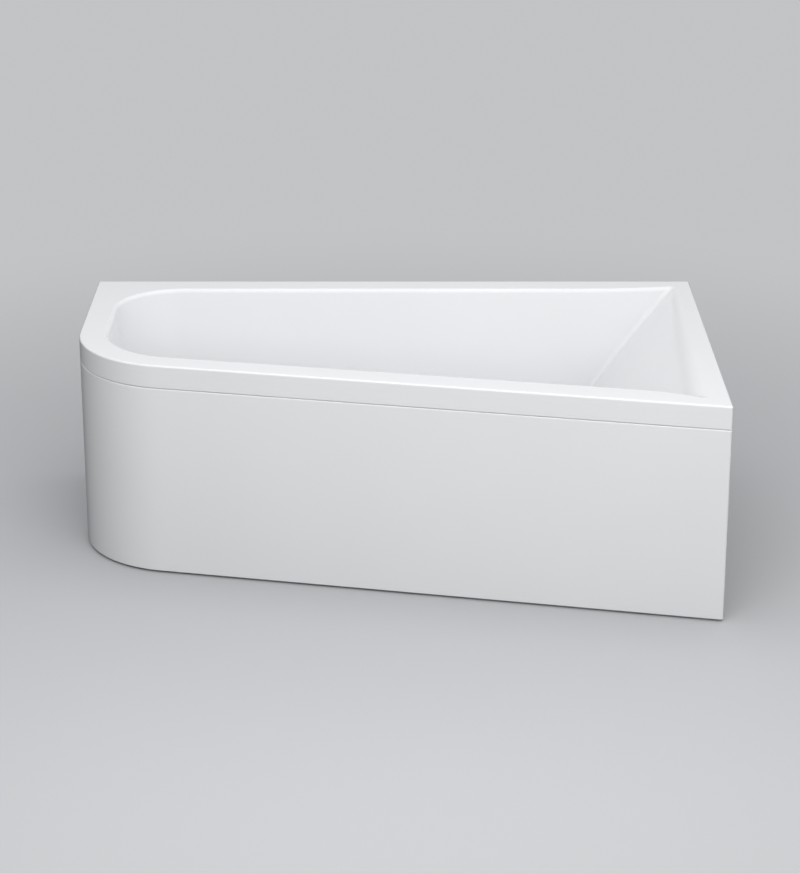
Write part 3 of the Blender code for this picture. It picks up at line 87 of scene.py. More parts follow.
# %% Lay the floor
FLOOR_SIZE = 60
FLOOR_SEEN = (0.45, 0.455, 0.465, 1)
FLOOR_CAST = (0.12, 0.12, 0.125, 1)
FLOOR_ROUGHNESS = 0.9
FLOOR_SPECULAR = 0.1
BACKDROP = (0.97, 0.98, 1.0, 1)
BACKDROP_LEVEL = 0.56
FADE_START = 0.9
FADE_END = 3.0


def feed(tree, node, inputs):
    """Gives each of these inputs a value, or another node's output to read."""
    for socket, value in inputs.items():
        if isinstance(value, bpy.types.NodeSocket):
            tree.links.new(value, node.inputs[socket])
        else:
            node.inputs[socket].default_value = value


def add_node(tree, kind, output, inputs=None, **settings):
    """Adds a node with its settings and inputs, and hands over one of its outputs."""
    node = tree.nodes.new("ShaderNode" + kind)
    for name, value in settings.items():
        setattr(node, name, value)
    feed(tree, node, inputs or {})
    return node.outputs[output]


def object_from(name, form, place=Matrix()):
    """Puts a bmesh, or a mesh that is ready, into the scene."""
    mesh = form
    if isinstance(form, bmesh.types.BMesh):
        mesh = bpy.data.meshes.new(name)
        form.to_mesh(mesh)
        form.free()
    thing = bpy.data.objects.new(name, mesh)
    thing.matrix_world = place
    bpy.context.scene.collection.objects.link(thing)
    return thing


floor_finish = bpy.data.materials.new("studio_floor")
floor_finish.use_nodes = True
tree = floor_finish.node_tree
shader = tree.nodes["Principled BSDF"]
seen = add_node(tree, "LightPath", "Is Camera Ray")
tone = add_node(tree, "Mix", 2, {"Factor": seen, 6: FLOOR_CAST, 7: FLOOR_SEEN}, data_type="RGBA")
dull = {"Roughness": FLOOR_ROUGHNESS, "Specular IOR Level": FLOOR_SPECULAR}
feed(tree, shader, {"Base Color": tone, **dull})
place = add_node(tree, "TexCoord", "Object")
distance = add_node(tree, "VectorMath", "Value", {0: place}, operation="LENGTH")
fade = {"Value": distance, "From Min": FADE_START, "From Max": FADE_END}
faded = add_node(tree, "MapRange", "Result", fade, interpolation_type="SMOOTHSTEP")
seen_fade = add_node(tree, "Math", "Value", {0: faded, 1: seen}, operation="MULTIPLY")
glow = add_node(tree, "Emission", "Emission", {"Color": BACKDROP, "Strength": BACKDROP_LEVEL})
above = add_node(tree, "MixShader", "Shader", {0: seen_fade, 1: shader.outputs["BSDF"], 2: glow})
below = add_node(tree, "BsdfTransparent", "BSDF")
backfacing = add_node(tree, "NewGeometry", "Backfacing")
one_sided = add_node(tree, "MixShader", "Shader", {0: backfacing, 1: above, 2: below})
feed(tree, tree.nodes["Material Output"], {"Surface": one_sided})

floor_form = bmesh.new()
bmesh.ops.create_grid(floor_form, x_segments=1, y_segments=1, size=FLOOR_SIZE / 2)
floor = object_from("floor", floor_form)
floor.data.materials.append(floor_finish)
print("floor is", FLOOR_SIZE, "m across")

# %% [markdown]
# ## The light
#
# The photograph's light is broad and soft. The rim is brightest, the front is a little darker and
# fades towards the floor, and the rounded end turns into shade. A sky does most of it: it is even, but
# a little dimmer to the left, as if a grey screen stood there. A soft box fairly close in front makes
# the fade, and one overhead lifts the rim. A small box on the left has a grid, which keeps its light
# in a narrow beam, and draws the bright line down the basin's crease. Reflections don't show the front
# box, since its mirror image would burn out the rim from behind. The camera and reflections see the
# sky at the backdrop's level, which is apart from the level at which it lights the bath.

# %% Light the room
SKY_LIGHT = 0.79
SKY_LIGHT_LEFT = 0.54
MIDDLE = (0.0, 0.0, 0.3)
CREASE_MIDDLE = (0.55, 0.38, 0.35)
UNMIRRORED = "front_box"
# Each box has a name, a place, what it is aimed at, its width and height, watts and degrees of spread.
SOFT_BOXES = (
    ("front_box", (0.15, -2.6, 1.9), MIDDLE, (4.0, 1.8), 64, 180),
    ("top_box", (0.0, 0.0, 4.0), MIDDLE, (3.2, 2.2), 30, 180),
    ("grid_box", (-1.9, -0.85, 1.5), CREASE_MIDDLE, (0.9, 0.9), 0.09, 20),
)

world = bpy.data.worlds.new("studio")
world.use_nodes = True
bpy.context.scene.world = world
sky = world.node_tree
rays = sky.nodes.new("ShaderNodeLightPath").outputs
seen = rays["Is Camera Ray"]
for ray in ("Is Glossy Ray", "Is Transmission Ray"):
    seen = add_node(sky, "Math", "Value", {0: seen, 1: rays[ray]}, operation="MAXIMUM")
direction = add_node(sky, "TexCoord", "Generated")
across = add_node(sky, "SeparateXYZ", "X", {"Vector": direction})
screen = {"Value": across, "From Min": -1, "From Max": 0}
screen |= {"To Min": SKY_LIGHT_LEFT, "To Max": SKY_LIGHT}
cast = add_node(sky, "MapRange", "Result", screen)
level = add_node(sky, "MapRange", "Result", {"Value": seen, "To Min": cast, "To Max": BACKDROP_LEVEL})
feed(sky, sky.nodes["Background"], {"Color": BACKDROP, "Strength": level})

for name, place, aim, size, watts, spread in SOFT_BOXES:
    lamp_data = bpy.data.lights.new(name, "AREA")
    lamp_data.shape = "RECTANGLE"
    lamp_data.size, lamp_data.size_y = size
    lamp_data.energy = watts
    lamp_data.spread = math.radians(spread)
    lamp = bpy.data.objects.new(name, lamp_data)
    lamp.location = place
    lamp.rotation_euler = (Vector(aim) - lamp.location).to_track_quat("-Z", "Y").to_euler()
    lamp.visible_camera = False
    lamp.visible_glossy = name != UNMIRRORED
    bpy.context.scene.collection.objects.link(lamp)
print("soft boxes:", len(SOFT_BOXES), "sky", SKY_LIGHT)

# %% [markdown]
# ## A way to write finishes
#
# Real surfaces are never one flat value. A small class keeps a Principled shader and adds to it, one
# effect at a time: colour that wanders between two tones, roughness that varies, and a relief given in
# metres. All patterns are solid ones in metres, so they need no unwrapping and have the right size.

# %% Define a finish
PATTERN_MIDDLE = (0.3, 0.7)


class Finish:
    """A Principled material that is built up from solid patterns, measured in metres."""

    def __init__(self, name, slot, colour, roughness, metallic=0.0):
        self.slot = slot
        self.material = bpy.data.materials.new(name)
        self.material.use_nodes = True
        self.material.diffuse_color = (*colour, 1)
        self.tree = self.material.node_tree
        self.set("Base Color", (*colour, 1)).set("Roughness", roughness).set("Metallic", metallic)
        self.place = add_node(self.tree, "TexCoord", "Object")
        self.height = None

    def set(self, socket, value):
        """Gives the shader a value, or a pattern to read."""
        feed(self.tree, self.tree.nodes["Principled BSDF"], {socket: value})
        return self

    def pattern(self, kind, output, size, stretch, turn, **inputs):
        """A pattern of about this size, drawn out along X, Y or Z and then turned."""
        turn = [math.radians(angle) for angle in turn]
        spread = {"Vector": self.place, "Scale": stretch, "Rotation": turn}
        where = add_node(self.tree, "Mapping", "Vector", spread, vector_type="TEXTURE")
        return add_node(self.tree, kind, output, {"Vector": where, "Scale": 1 / size, **inputs})

    def clouds(self, size, detail=3.0, stretch=(1, 1, 1), turn=(0, 0, 0)):
        """Soft noise."""
        return self.pattern("TexNoise", "Fac", size, stretch, turn, Detail=detail)

    def cells(self, size, stretch, turn):
        """Cells of one tone each, such as flakes or spangle."""
        return self.pattern("TexVoronoi", "Color", size, stretch, turn)

    def tones(self, value, *colours):
        """Colour that goes through these tones as the pattern's middle part rises."""
        ramp = add_node(self.tree, "ValToRGB", "Color", {"Fac": value})
        points = ramp.node.color_ramp.elements
        start, end = PATTERN_MIDDLE
        while len(points) < len(colours):
            points.new(0.5)
        for k, colour in enumerate(colours):
            points[k].position = start + (end - start) * k / (len(colours) - 1)
            points[k].color = (*colour, 1)
        return self.set("Base Color", ramp)

    def gloss(self, value, low, high):
        """Roughness that wanders between two values."""
        start, end = PATTERN_MIDDLE
        span = {"Value": value, "From Min": start, "From Max": end, "To Min": low, "To Max": high}
        return self.set("Roughness", add_node(self.tree, "MapRange", "Result", span))

    def relief(self, value, depth):
        """A bump of this depth in metres, laid over those given before."""
        bump = {"Height": value, "Distance": depth}
        if self.height:
            bump["Normal"] = self.height
        self.height = add_node(self.tree, "Bump", "Normal", bump)
        return self.set("Normal", self.height)


print("patterns are read from", *PATTERN_MIDDLE)

# %% [markdown]
# ## White acrylic
#
# Sanitary acrylic is a dense white plastic with a clear, hard gloss. Two faint things keep it from
# looking like paint on glass: a long, shallow waviness that the forming leaves in the sheet, and a
# fine orange peel. Both are far below a tenth of a millimetre, so they only stir the reflections.

# %% Make the acrylic
acrylic = Finish("white_acrylic", "acrylic", (0.745, 0.749, 0.757), 0.18)
acrylic.set("IOR", 1.43).set("Coat Weight", 0.08).set("Coat Roughness", 0.06)
acrylic.tones(acrylic.clouds(0.35, 2), (0.739, 0.743, 0.751), (0.751, 0.755, 0.763))
acrylic.gloss(acrylic.clouds(0.06, 4), 0.16, 0.20)
acrylic.relief(acrylic.clouds(0.22, 1), 0.00007)
acrylic.relief(acrylic.clouds(0.0035, 2), 0.000004)
print("acrylic has", len(acrylic.tree.nodes), "nodes")

# %% [markdown]
# ## The bath in plan
#
# Seen from above, the bath has a straight rear and right-hand side, a short left side, and a front
# that slants. Four corners hold all of that. Each outline is those four lines moved inward, with the
# corners rounded by arcs. Corner and side steps set how fine an outline is.

# %% Draw outlines in plan
BATH_LENGTH = 1.600
BATH_DEPTH = 1.000
LEFT_DEPTH = 0.657
BATH_HEIGHT = 0.555
NOSE_RADIUS = 0.270
CORNER_RADIUS = 0.006
LEAST_RADIUS = 0.001
ARC_STEPS = (18, 28, 3, 6)
SIDE_STEPS = (8, 36, 24, 36)

slant = math.atan((BATH_DEPTH - LEFT_DEPTH) / BATH_LENGTH)
tip_loss = CORNER_RADIUS / math.tan((math.pi / 2 - slant) / 2) * math.sin(slant)
rear_y = (BATH_DEPTH - tip_loss) / 2
left_x, right_x = -BATH_LENGTH / 2, BATH_LENGTH / 2
plan = [Vector((left_x, rear_y)), Vector((left_x, rear_y - LEFT_DEPTH))]
plan += [Vector((right_x, rear_y - BATH_DEPTH)), Vector((right_x, rear_y))]
front_along = (plan[2] - plan[1]).normalized()
front_inward = Vector((-front_along.y, front_along.x))


def inset_plan(insets):
    """The four corners, with each side moved in by its distance at its start and its end."""
    lines = []
    for i, (start, end) in enumerate(insets):
        first, last = plan[i], plan[(i + 1) % 4]
        along = (last - first).normalized()
        inward = Vector((-along.y, along.x))
        lines.append(((first + inward * start).to_3d(), (last + inward * end).to_3d()))
    return [intersect_line_line(*lines[i - 1], *lines[i])[0].to_2d() for i in range(4)]


def corner_arc(before, corner, after, radius, steps):
    """The arc that rounds a corner, from the side before it to the side after it."""
    back = (before - corner).normalized()
    onward = (after - corner).normalized()
    half = back.angle(onward) / 2
    centre = corner + (back + onward).normalized() * radius / math.sin(half)
    spoke = corner + back * radius / math.tan(half) - centre
    sweep = math.copysign(math.pi - 2 * half, onward.cross(back))
    return [centre + Matrix.Rotation(sweep * k / steps, 2) @ spoke for k in range(steps + 1)]


def divided(first, last, steps):
    """Points between two others, at even steps."""
    return [first.lerp(last, k / steps) for k in range(1, steps)]


def rounded_outline(corners, radii):
    """A closed outline that always has the same number of points."""
    arcs = [
        corner_arc(corners[i - 1], corners[i], corners[(i + 1) % 4], radii[i], ARC_STEPS[i])
        for i in range(4)
    ]
    points = []
    for i, arc in enumerate(arcs):
        points += arc + divided(arc[-1], arcs[(i + 1) % 4][0], SIDE_STEPS[i])
    return points


def at_height(points, z):
    """Points in plan, brought to one height."""
    return [Vector((point.x, point.y, z)) for point in points]


def outer_ring(inset, z):
    """The bath's outer outline, moved in, at one height."""
    outer_radii = (CORNER_RADIUS, NOSE_RADIUS, CORNER_RADIUS, CORNER_RADIUS)
    radii = [max(radius - inset, LEAST_RADIUS) for radius in outer_radii]
    return at_height(rounded_outline(inset_plan([(inset, inset)] * 4), radii), z)


print("points in an outline:", len(outer_ring(0, 0)), "slant:", round(math.degrees(slant), 2))

# %% [markdown]
# ## The basin's walls
#
# Each wall rolls over from the rim, leans in as it goes down, and turns into the floor with a toe.
# The right-hand wall is the backrest: it leans far more, its roll grows from a small radius at the
# rear to a wide one at the front, and it bows. One function gives the distance in from the bath's
# side at any depth, so the whole basin is a stack of outlines.

# %% Describe the basin
BASIN_DEPTH = 0.425
ROLL = 0.011
TOE = 0.045
CREASE = 0.015
WALLS = (
    {"rim": (0.071, 0.071), "roll": (ROLL, ROLL), "slope": 0.14, "toe": TOE, "bow": 0},
    {"rim": (0.073, 0.084), "roll": (ROLL, ROLL), "slope": 0.07, "toe": TOE, "bow": 0},
    {"rim": (0.073, 0.047), "roll": (0.070, 0.012), "slope": 0.722, "toe": 0.080, "bow": 0.018},
    {"rim": (0.076, 0.076), "roll": (ROLL, ROLL), "slope": 0.06, "toe": TOE, "bow": 0},
)
BASIN_RADII = (0.165, 0.210, 0.018, CREASE)
ROUND_CORNERS = (1, 1, 0, 0)
REAR_FLARE = (0.300, 1.500)
FRONT_FLARE = (0.200, 0.380)


def wall_inset(wall, depth, end):
    """How far in a wall is from the bath's side, this deep below the rim."""
    rim, roll = wall["rim"][end], wall["roll"][end]
    slope, toe = wall["slope"], wall["toe"]
    lean = math.atan(slope)
    half_turn = (math.pi / 2 - lean) / 2
    height = BASIN_DEPTH - depth
    if depth < roll * (1 - math.sin(lean)):
        inset = rim - roll * math.tan(half_turn) + math.sqrt(roll**2 - (roll - depth) ** 2)
    elif height < toe * (1 - math.sin(lean)):
        inset = rim + slope * BASIN_DEPTH + toe * math.tan(half_turn)
        inset -= math.sqrt(toe**2 - (toe - height) ** 2)
    else:
        inset = rim + slope * depth
    share = depth / BASIN_DEPTH
    return inset + 4 * wall["bow"] * share * (1 - share)


def front_shares():
    """For each point of an outline: 1 along the front, 0 along the rear, even steps between."""
    shares = []
    for i, (here, there) in enumerate(((0, 1), (1, 1), (1, 0), (0, 0))):
        shares += [here] * (ARC_STEPS[i] + 1)
        shares += [here + (there - here) * k / SIDE_STEPS[i] for k in range(1, SIDE_STEPS[i])]
    return shares


def flared(point, front_share):
    """Spreads the rear and front walls apart towards the right-hand end."""
    rear = max(0, point.x - right_x + REAR_FLARE[0]) ** 2 / (2 * REAR_FLARE[1])
    front = max(0, point.x - right_x + FRONT_FLARE[0]) ** 2 / (2 * FRONT_FLARE[1])
    return point + Vector((0, rear * (1 - front_share))) - front_inward * front * front_share


def basin_outline(depth, margin=0):
    """The basin's outline this deep below the rim, drawn in by a margin."""
    insets = [tuple(wall_inset(wall, depth, end) + margin for end in (0, 1)) for wall in WALLS]
    radii = []
    for i, (radius, shrinks) in enumerate(zip(BASIN_RADII, ROUND_CORNERS)):
        drawn_in = insets[i - 1][1] - WALLS[i - 1]["rim"][1] + insets[i][0] - WALLS[i]["rim"][0]
        radii.append(max(radius - drawn_in / 2 * shrinks, CREASE))
    outline = rounded_outline(inset_plan(insets), radii)
    return [flared(point, share) for point, share in zip(outline, front_shares())]


print("backrest leans", round(math.degrees(math.atan(WALLS[2]["slope"])), 1), "degrees")

# %% [markdown]
# ## Skins through rings
#
# A sheet that has been drawn over a mould has nearly one thickness all over. So the shell is drawn as
# its visible skin, a loft through the stack of rings, and Solidify gives it the sheet's thickness
# behind. Weighted normals keep large flat faces flat where they meet small curved ones.

# %% Loft and thicken
SHELL_WALL = 0.004
SHARP_DEGREES = 35
RING_CROWDING = 1.6
FINE_STEPS = (10, 16, 8)
COARSE_STEPS = (6, 12, 6)


def piece_from(name, form, finish, nodes=(), place=Matrix(), body="bath"):
    """Makes a finished piece, puts it in place of its solids and lets it ride."""
    piece = object_from(name, form, place)
    if not piece.data.materials:
        piece.data.materials.append(finish.material)
    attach(piece, body)
    if nodes:
        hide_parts(*nodes)
    return piece


def skin(lines, closed=True, caps=(-1,)):
    """A skin through lines of equal length. Closed lines are rings, and caps are the rings to fill.

    The first ring is filled the other way round, so that both caps of a tube face outward.
    """
    form = bmesh.new()
    rows = [[form.verts.new(point) for point in line] for line in lines]
    for lower, upper in zip(rows, rows[1:]):
        for k in range(len(lower) if closed else len(lower) - 1):
            after = (k + 1) % len(lower)
            form.faces.new((lower[k], lower[after], upper[after], upper[k]))
    for end in caps:
        form.faces.new(rows[end] if end else rows[end][::-1])
    form.normal_update()
    return form


def thicken(piece, thickness):
    """Gives a skin its sheet's thickness, behind it where this is positive."""
    sheet = piece.modifiers.new("sheet", "SOLIDIFY")
    sheet.thickness = thickness
    sheet.offset = -1
    sheet.use_even_offset = True


def cut(piece, other, operation="DIFFERENCE"):
    """Cuts a hidden helper out of a piece, or joins it on."""
    other.hide_render = True
    change = piece.modifiers.new(other.name, "BOOLEAN")
    change.operation = operation
    change.object = other


def settle(piece, degrees=SHARP_DEGREES):
    """Applies a piece's modifiers, drops its helpers and shades it."""
    bpy.context.view_layer.update()
    graph = bpy.context.evaluated_depsgraph_get()
    mesh = bpy.data.meshes.new_from_object(piece.evaluated_get(graph))
    helpers = [m.object for m in piece.modifiers if m.type == "BOOLEAN"]
    piece.modifiers.clear()
    piece.data = mesh
    for helper in helpers:
        bpy.data.objects.remove(helper)
    mesh.shade_smooth()
    mesh.set_sharp_from_angle(angle=math.radians(degrees))
    weigh = piece.modifiers.new("flat_faces_lead", "WEIGHTED_NORMAL")
    weigh.keep_sharp = True
    return piece


def whole_piece(name, form, finish, node, place=Matrix(), body="bath", degrees=SHARP_DEGREES):
    """A piece that nothing is cut from."""
    return settle(piece_from(name, form, finish, [node], place, body), degrees)


def basin_rings(roll_steps, wall_steps, toe_steps):
    """A basin's rings from the rim down, close together on the roll and the toe."""
    top, bottom = ROLL, BASIN_DEPTH - TOE
    turns = [math.pi / 2 * k / roll_steps for k in range(roll_steps + 1)]
    depths = [ROLL * (1 - math.cos(turn)) for turn in turns]
    shares = [(k / wall_steps) ** RING_CROWDING for k in range(1, wall_steps)]
    depths += [top + (bottom - top) * share for share in shares]
    turns = [math.pi / 2 * k / toe_steps for k in range(toe_steps + 1)]
    depths += [BASIN_DEPTH - TOE * (1 - math.sin(turn)) for turn in turns]
    return [at_height(basin_outline(depth), BATH_HEIGHT - depth) for depth in depths]


print("rings of a fine basin:", len(basin_rings(*FINE_STEPS)))

# %% [markdown]
# ## Round things
#
# Flanges, knobs, pads and nuts are turned: half of a section, spun about an axis. The Screw modifier
# could do this, but a spin in the mesh leaves nothing to apply, and with merged ends the result is
# closed. The helper takes the section as points of radius and height. Holes are drilled with a plain
# rod, and the same rod can be joined on as a spigot.

# %% Turn a section
TURN_STEPS = 64
SMALL_STEPS = 24
SOFT_STEPS = 3
HARDLY_BENT = math.radians(82)
SIDE_SHARE = 0.45
MERGE_DISTANCE = 0.000005


def at(x, y, z):
    """The place at this point, with no turn."""
    return Matrix.Translation((x, y, z))


def quarter(axis, turns=1):
    """Quarter turns about an axis, of which four go all the way round."""
    return Matrix.Rotation(turns * math.pi / 2, 4, axis)


def stepped(radius, z, *moves):
    """A section of square steps: a first point, then a new radius and a new height in turn."""
    points = [(radius, z)]
    for number, move in enumerate(moves):
        radius, z = (radius, move) if number % 2 else (move, z)
        points.append((radius, z))
    return points


def softened(section, radius, closed):
    """Rounds every corner of a section, except on the axis and where it hardly bends."""
    points = [Vector(point) for point in section]
    if not radius:
        return points
    rounded = []
    for i, corner in enumerate(points):
        before, after = points[i - 1], points[(i + 1) % len(points)]
        half = (before - corner).angle(after - corner) / 2
        on_end = not closed and i in (0, len(points) - 1)
        if on_end or half > HARDLY_BENT:
            rounded.append(corner)
            continue
        shorter = min((before - corner).length, (after - corner).length)
        room = shorter * SIDE_SHARE * math.tan(half)
        rounded += corner_arc(before, corner, after, min(radius, room), SOFT_STEPS)
    return rounded


def turned_form(section, closed, radius=0, steps=TURN_STEPS):
    """A bmesh of a section of (radius, z) points, rounded at its corners and spun about Z."""
    form = bmesh.new()
    verts = [form.verts.new((reach, 0, z)) for reach, z in softened(section, radius, closed)]
    edges = [form.edges.new(pair) for pair in zip(verts, verts[1:])]
    if closed:
        edges.append(form.edges.new((verts[-1], verts[0])))
    round_z = {"axis": (0, 0, 1), "cent": (0, 0, 0), "angle": 2 * math.pi, "use_merge": True}
    bmesh.ops.spin(form, geom=verts + edges, steps=steps, **round_z)
    bmesh.ops.remove_doubles(form, verts=form.verts, dist=MERGE_DISTANCE)
    bmesh.ops.recalc_face_normals(form, faces=form.faces)
    return form


def rod_form(radius, length, steps=TURN_STEPS):
    """A cylinder along Z round the origin."""
    form = bmesh.new()
    size = {"radius1": radius, "radius2": radius, "depth": length}
    bmesh.ops.create_cone(form, cap_ends=True, segments=steps, **size)
    return form


def drill(piece, name, radius, length, place, steps=TURN_STEPS, operation="DIFFERENCE"):
    """Cuts a round hole, or joins a round spigot on."""
    cut(piece, object_from(name, rod_form(radius, length, steps), place), operation)


print("steps round a turned piece:", TURN_STEPS)

# %% [markdown]
# ## Drain and overflow
#
# The floor has a shallow dish round the drain, so the last water runs out, with a flat seat for the
# flange. The overflow is a round hole in the front wall. Its own frame, with Z pointing into the
# basin, is used again for the bezel, the knob and the body behind the wall.

# %% Find the drain and the overflow
DRAIN = Vector((-0.120, -0.040, 0))
DISH_RADIUS = 0.072
DISH_FALL = 0.004
SEAT_RADIUS = 0.0375
SEAT_DEPTH = 0.003
SEAT_DRAFT = 0.001
DRAIN_HOLE_RADIUS = 0.026
OVERFLOW_DROP = 0.077
OVERFLOW_HOLE_RADIUS = 0.027
DISH_STEPS = 8

at_drain = at(*DRAIN)
floor_top = BATH_HEIGHT - BASIN_DEPTH
seat_top = floor_top - DISH_FALL - SEAT_DEPTH
seat_bottom = seat_top - SHELL_WALL


def overflow_frame():
    """A frame on the inside of the front wall, with Y up the wall."""
    first = plan[1] + front_inward * wall_inset(WALLS[1], OVERFLOW_DROP, 0)
    last = plan[2] + front_inward * wall_inset(WALLS[1], OVERFLOW_DROP, 1)
    spot = first.lerp(last, (DRAIN.x - first.x) / (last.x - first.x))
    across = (first - last).normalized().to_3d()
    out = Vector((across.y, -across.x, WALLS[1]["slope"])).normalized()
    matrix = Matrix((across, out.cross(across), out)).transposed().to_4x4()
    matrix.translation = (spot.x, spot.y, BATH_HEIGHT - OVERFLOW_DROP)
    return matrix


def dish_line():
    """Points from the dish's edge to its seat: level at both ends and steepest between."""
    points = []
    for k in range(DISH_STEPS + 1):
        radius = DISH_RADIUS + (SEAT_RADIUS + SEAT_DRAFT - DISH_RADIUS) * k / DISH_STEPS
        fall = DISH_FALL * (1 - math.cos(math.pi * k / DISH_STEPS)) / 2
        points.append((radius, floor_top - fall))
    return points


overflow = overflow_frame()
print("overflow at", [round(v, 4) for v in overflow.translation])

# %% [markdown]
# ## The tub shell
#
# From the bottom of the skirt the sheet goes up, turns over a small edge radius, runs flat as the
# rim, and drops into the basin. The dish and both holes are cut afterwards, as they are on the real
# one, because a hole saw doesn't care how the sheet was drawn.

# %% Form the tub
SKIRT_HEIGHT = 0.058
RIM_EDGE = 0.005
EDGE_STEPS = 6
CUT_LENGTH = 0.040

skirt_bottom = BATH_HEIGHT - SKIRT_HEIGHT
quarter_turns = [math.pi / 2 * k / EDGE_STEPS for k in range(EDGE_STEPS + 1)]
tub_rings = [outer_ring(0, skirt_bottom)]
for turn in quarter_turns:
    height = BATH_HEIGHT - RIM_EDGE * (1 - math.sin(turn))
    tub_rings.append(outer_ring(RIM_EDGE * (1 - math.cos(turn)), height))
tub = piece_from("bath_tub", skin(tub_rings + basin_rings(*FINE_STEPS)), acrylic, ["tub_shell"])
thicken(tub, SHELL_WALL)

dish_section = stepped(0, floor_top - SHELL_WALL / 2, DISH_RADIUS)
dish_section += [(radius, z - SHELL_WALL) for radius, z in dish_line()[:-1]]
dish_section.append((SEAT_RADIUS + SEAT_DRAFT + SHELL_WALL, floor_top - DISH_FALL - SHELL_WALL))
dish_section += [(SEAT_RADIUS + SHELL_WALL, seat_bottom), (0, seat_bottom)]
hollow_section = stepped(0, floor_top + CUT_LENGTH, DISH_RADIUS) + dish_line()
hollow_section += stepped(SEAT_RADIUS, seat_top, DRAIN_HOLE_RADIUS, seat_bottom - CUT_LENGTH, 0)
cut(tub, object_from("dish", turned_form(dish_section, False), at_drain), "UNION")
cut(tub, object_from("dish_hollow", turned_form(hollow_section, False), at_drain))
drill(tub, "overflow_cut", OVERFLOW_HOLE_RADIUS, CUT_LENGTH, overflow)
settle(tub)
print("tub faces:", len(tub.data.polygons))

# %% [markdown]
# ## The apron
#
# One sheet runs from the rear wall down the left side, round the nose and along the front, then turns
# a short way up the right-hand end. Its top edge tucks in under the skirt and leaves a hairline, and
# its bottom edge turns in just above the floor. It is a section swept along that line, so the hairline
# has the same width everywhere.

# %% Sweep the apron
PANEL_WALL = 0.003
PANEL_EDGE = 0.0035
PANEL_RETURN = 0.020
PANEL_END_RETURN = 0.030
PANEL_TOP_GAP = 0.002
PANEL_FLOOR_GAP = 0.005
PANEL_WALL_GAP = 0.002
PANEL_ROWS = 6

panel_top = skirt_bottom - PANEL_TOP_GAP


def panel_line(inset, z):
    """The apron's line in plan, moved in, at one height."""
    corners = inset_plan([(inset, inset)] * 4)
    start = Vector((corners[0].x, rear_y - PANEL_WALL_GAP))
    end = Vector((corners[2].x, plan[2].y + PANEL_END_RETURN))
    nose = corner_arc(start, corners[1], corners[2], NOSE_RADIUS - inset, ARC_STEPS[1])
    heel_radius = max(CORNER_RADIUS - inset, LEAST_RADIUS)
    heel = corner_arc(corners[1], corners[2], end, heel_radius, ARC_STEPS[2])
    points = [start] + divided(start, nose[0], SIDE_STEPS[0]) + nose
    points += divided(nose[-1], heel[0], SIDE_STEPS[1]) + heel + [end]
    return at_height(points, z)


def panel_section():
    """Pairs of inset and height, from the bottom return up to the top one."""
    edge = [
        (PANEL_EDGE * (1 - math.sin(turn)), PANEL_EDGE * (1 - math.cos(turn)))
        for turn in quarter_turns
    ]
    foot = Vector((0, PANEL_FLOOR_GAP + PANEL_EDGE))
    head = Vector((0, panel_top - PANEL_EDGE))
    section = [(PANEL_RETURN, PANEL_FLOOR_GAP)]
    section += [(inset, PANEL_FLOOR_GAP + rise) for inset, rise in edge]
    section += divided(foot, head, PANEL_ROWS)
    section += [(rise, panel_top - inset) for inset, rise in edge]
    return section + [(PANEL_RETURN, panel_top)]


panel_form = skin([panel_line(inset, z) for inset, z in panel_section()], False, ())
panel = piece_from("bath_apron", panel_form, acrylic, ["apron_panel"], body="apron")
thicken(panel, PANEL_WALL)
settle(panel)
print("apron faces:", len(panel.data.polygons))

# %% [markdown]
# ## The glass-fibre back
#
# Acrylic alone would bend under a bather. Its back is sprayed with resin and chopped glass, which sets
# to a hard, lumpy, yellowish skin with the strands showing. The skin follows the basin, so it is the
# same stack of rings, pushed out along its own normals by one sheet thickness. Strands are noise that
# is drawn out in two crossing directions.

# %% Spray the back
GAP = 0.0003
BACKING_WALL = 0.003
BACKING_RIM_INSET = 0.027
BACKING_DRAIN_MARGIN = 0.004

fibre = Finish("sprayed_glass_fibre", "glass_fibre", (0.60, 0.58, 0.48), 0.45)
strands = fibre.clouds(0.0035, 2, (14, 1, 1), (10, 20, 25))
crossing = fibre.clouds(0.0035, 2, (14, 1, 1), (-15, 30, 110))
lumps = fibre.clouds(0.030, 3)
fibre.tones(strands, (0.53, 0.50, 0.39), (0.62, 0.60, 0.50), (0.70, 0.69, 0.61))
fibre.gloss(lumps, 0.32, 0.60)
fibre.relief(lumps, 0.0016).relief(strands, 0.0005).relief(crossing, 0.0005)

backing_edge = outer_ring(BACKING_RIM_INSET, BATH_HEIGHT)
backing_form = skin([backing_edge] + basin_rings(*COARSE_STEPS))
pushes = [v.normal * v.calc_shell_factor() * (SHELL_WALL + GAP) for v in backing_form.verts]
for vert, push in zip(backing_form.verts, pushes):
    vert.co -= push
backing = piece_from("sprayed_back", backing_form, fibre, ["glassfibre_backing"])
thicken(backing, BACKING_WALL)
drill(backing, "back_overflow_cut", OVERFLOW_HOLE_RADIUS, CUT_LENGTH, overflow)
at_floor = at(DRAIN.x, DRAIN.y, floor_top)
drill(backing, "back_drain_cut", DISH_RADIUS + BACKING_DRAIN_MARGIN, CUT_LENGTH, at_floor)
settle(backing)
print("back faces:", len(backing.data.polygons))

# %% [markdown]
# ## The floor board
#
# Under the flat of the basin lies a chipboard that spreads a person's weight over the legs. It is cut
# to the floor's outline with a round hole for the waste. Chipboard shows flakes of a few millimetres
# in several browns: Voronoi cells, flattened, with one tone to a cell.

# %% Cut the floor board
BOARD_THICKNESS = 0.015
BOARD_MARGIN = 0.012
BOARD_HOLE_RADIUS = 0.060

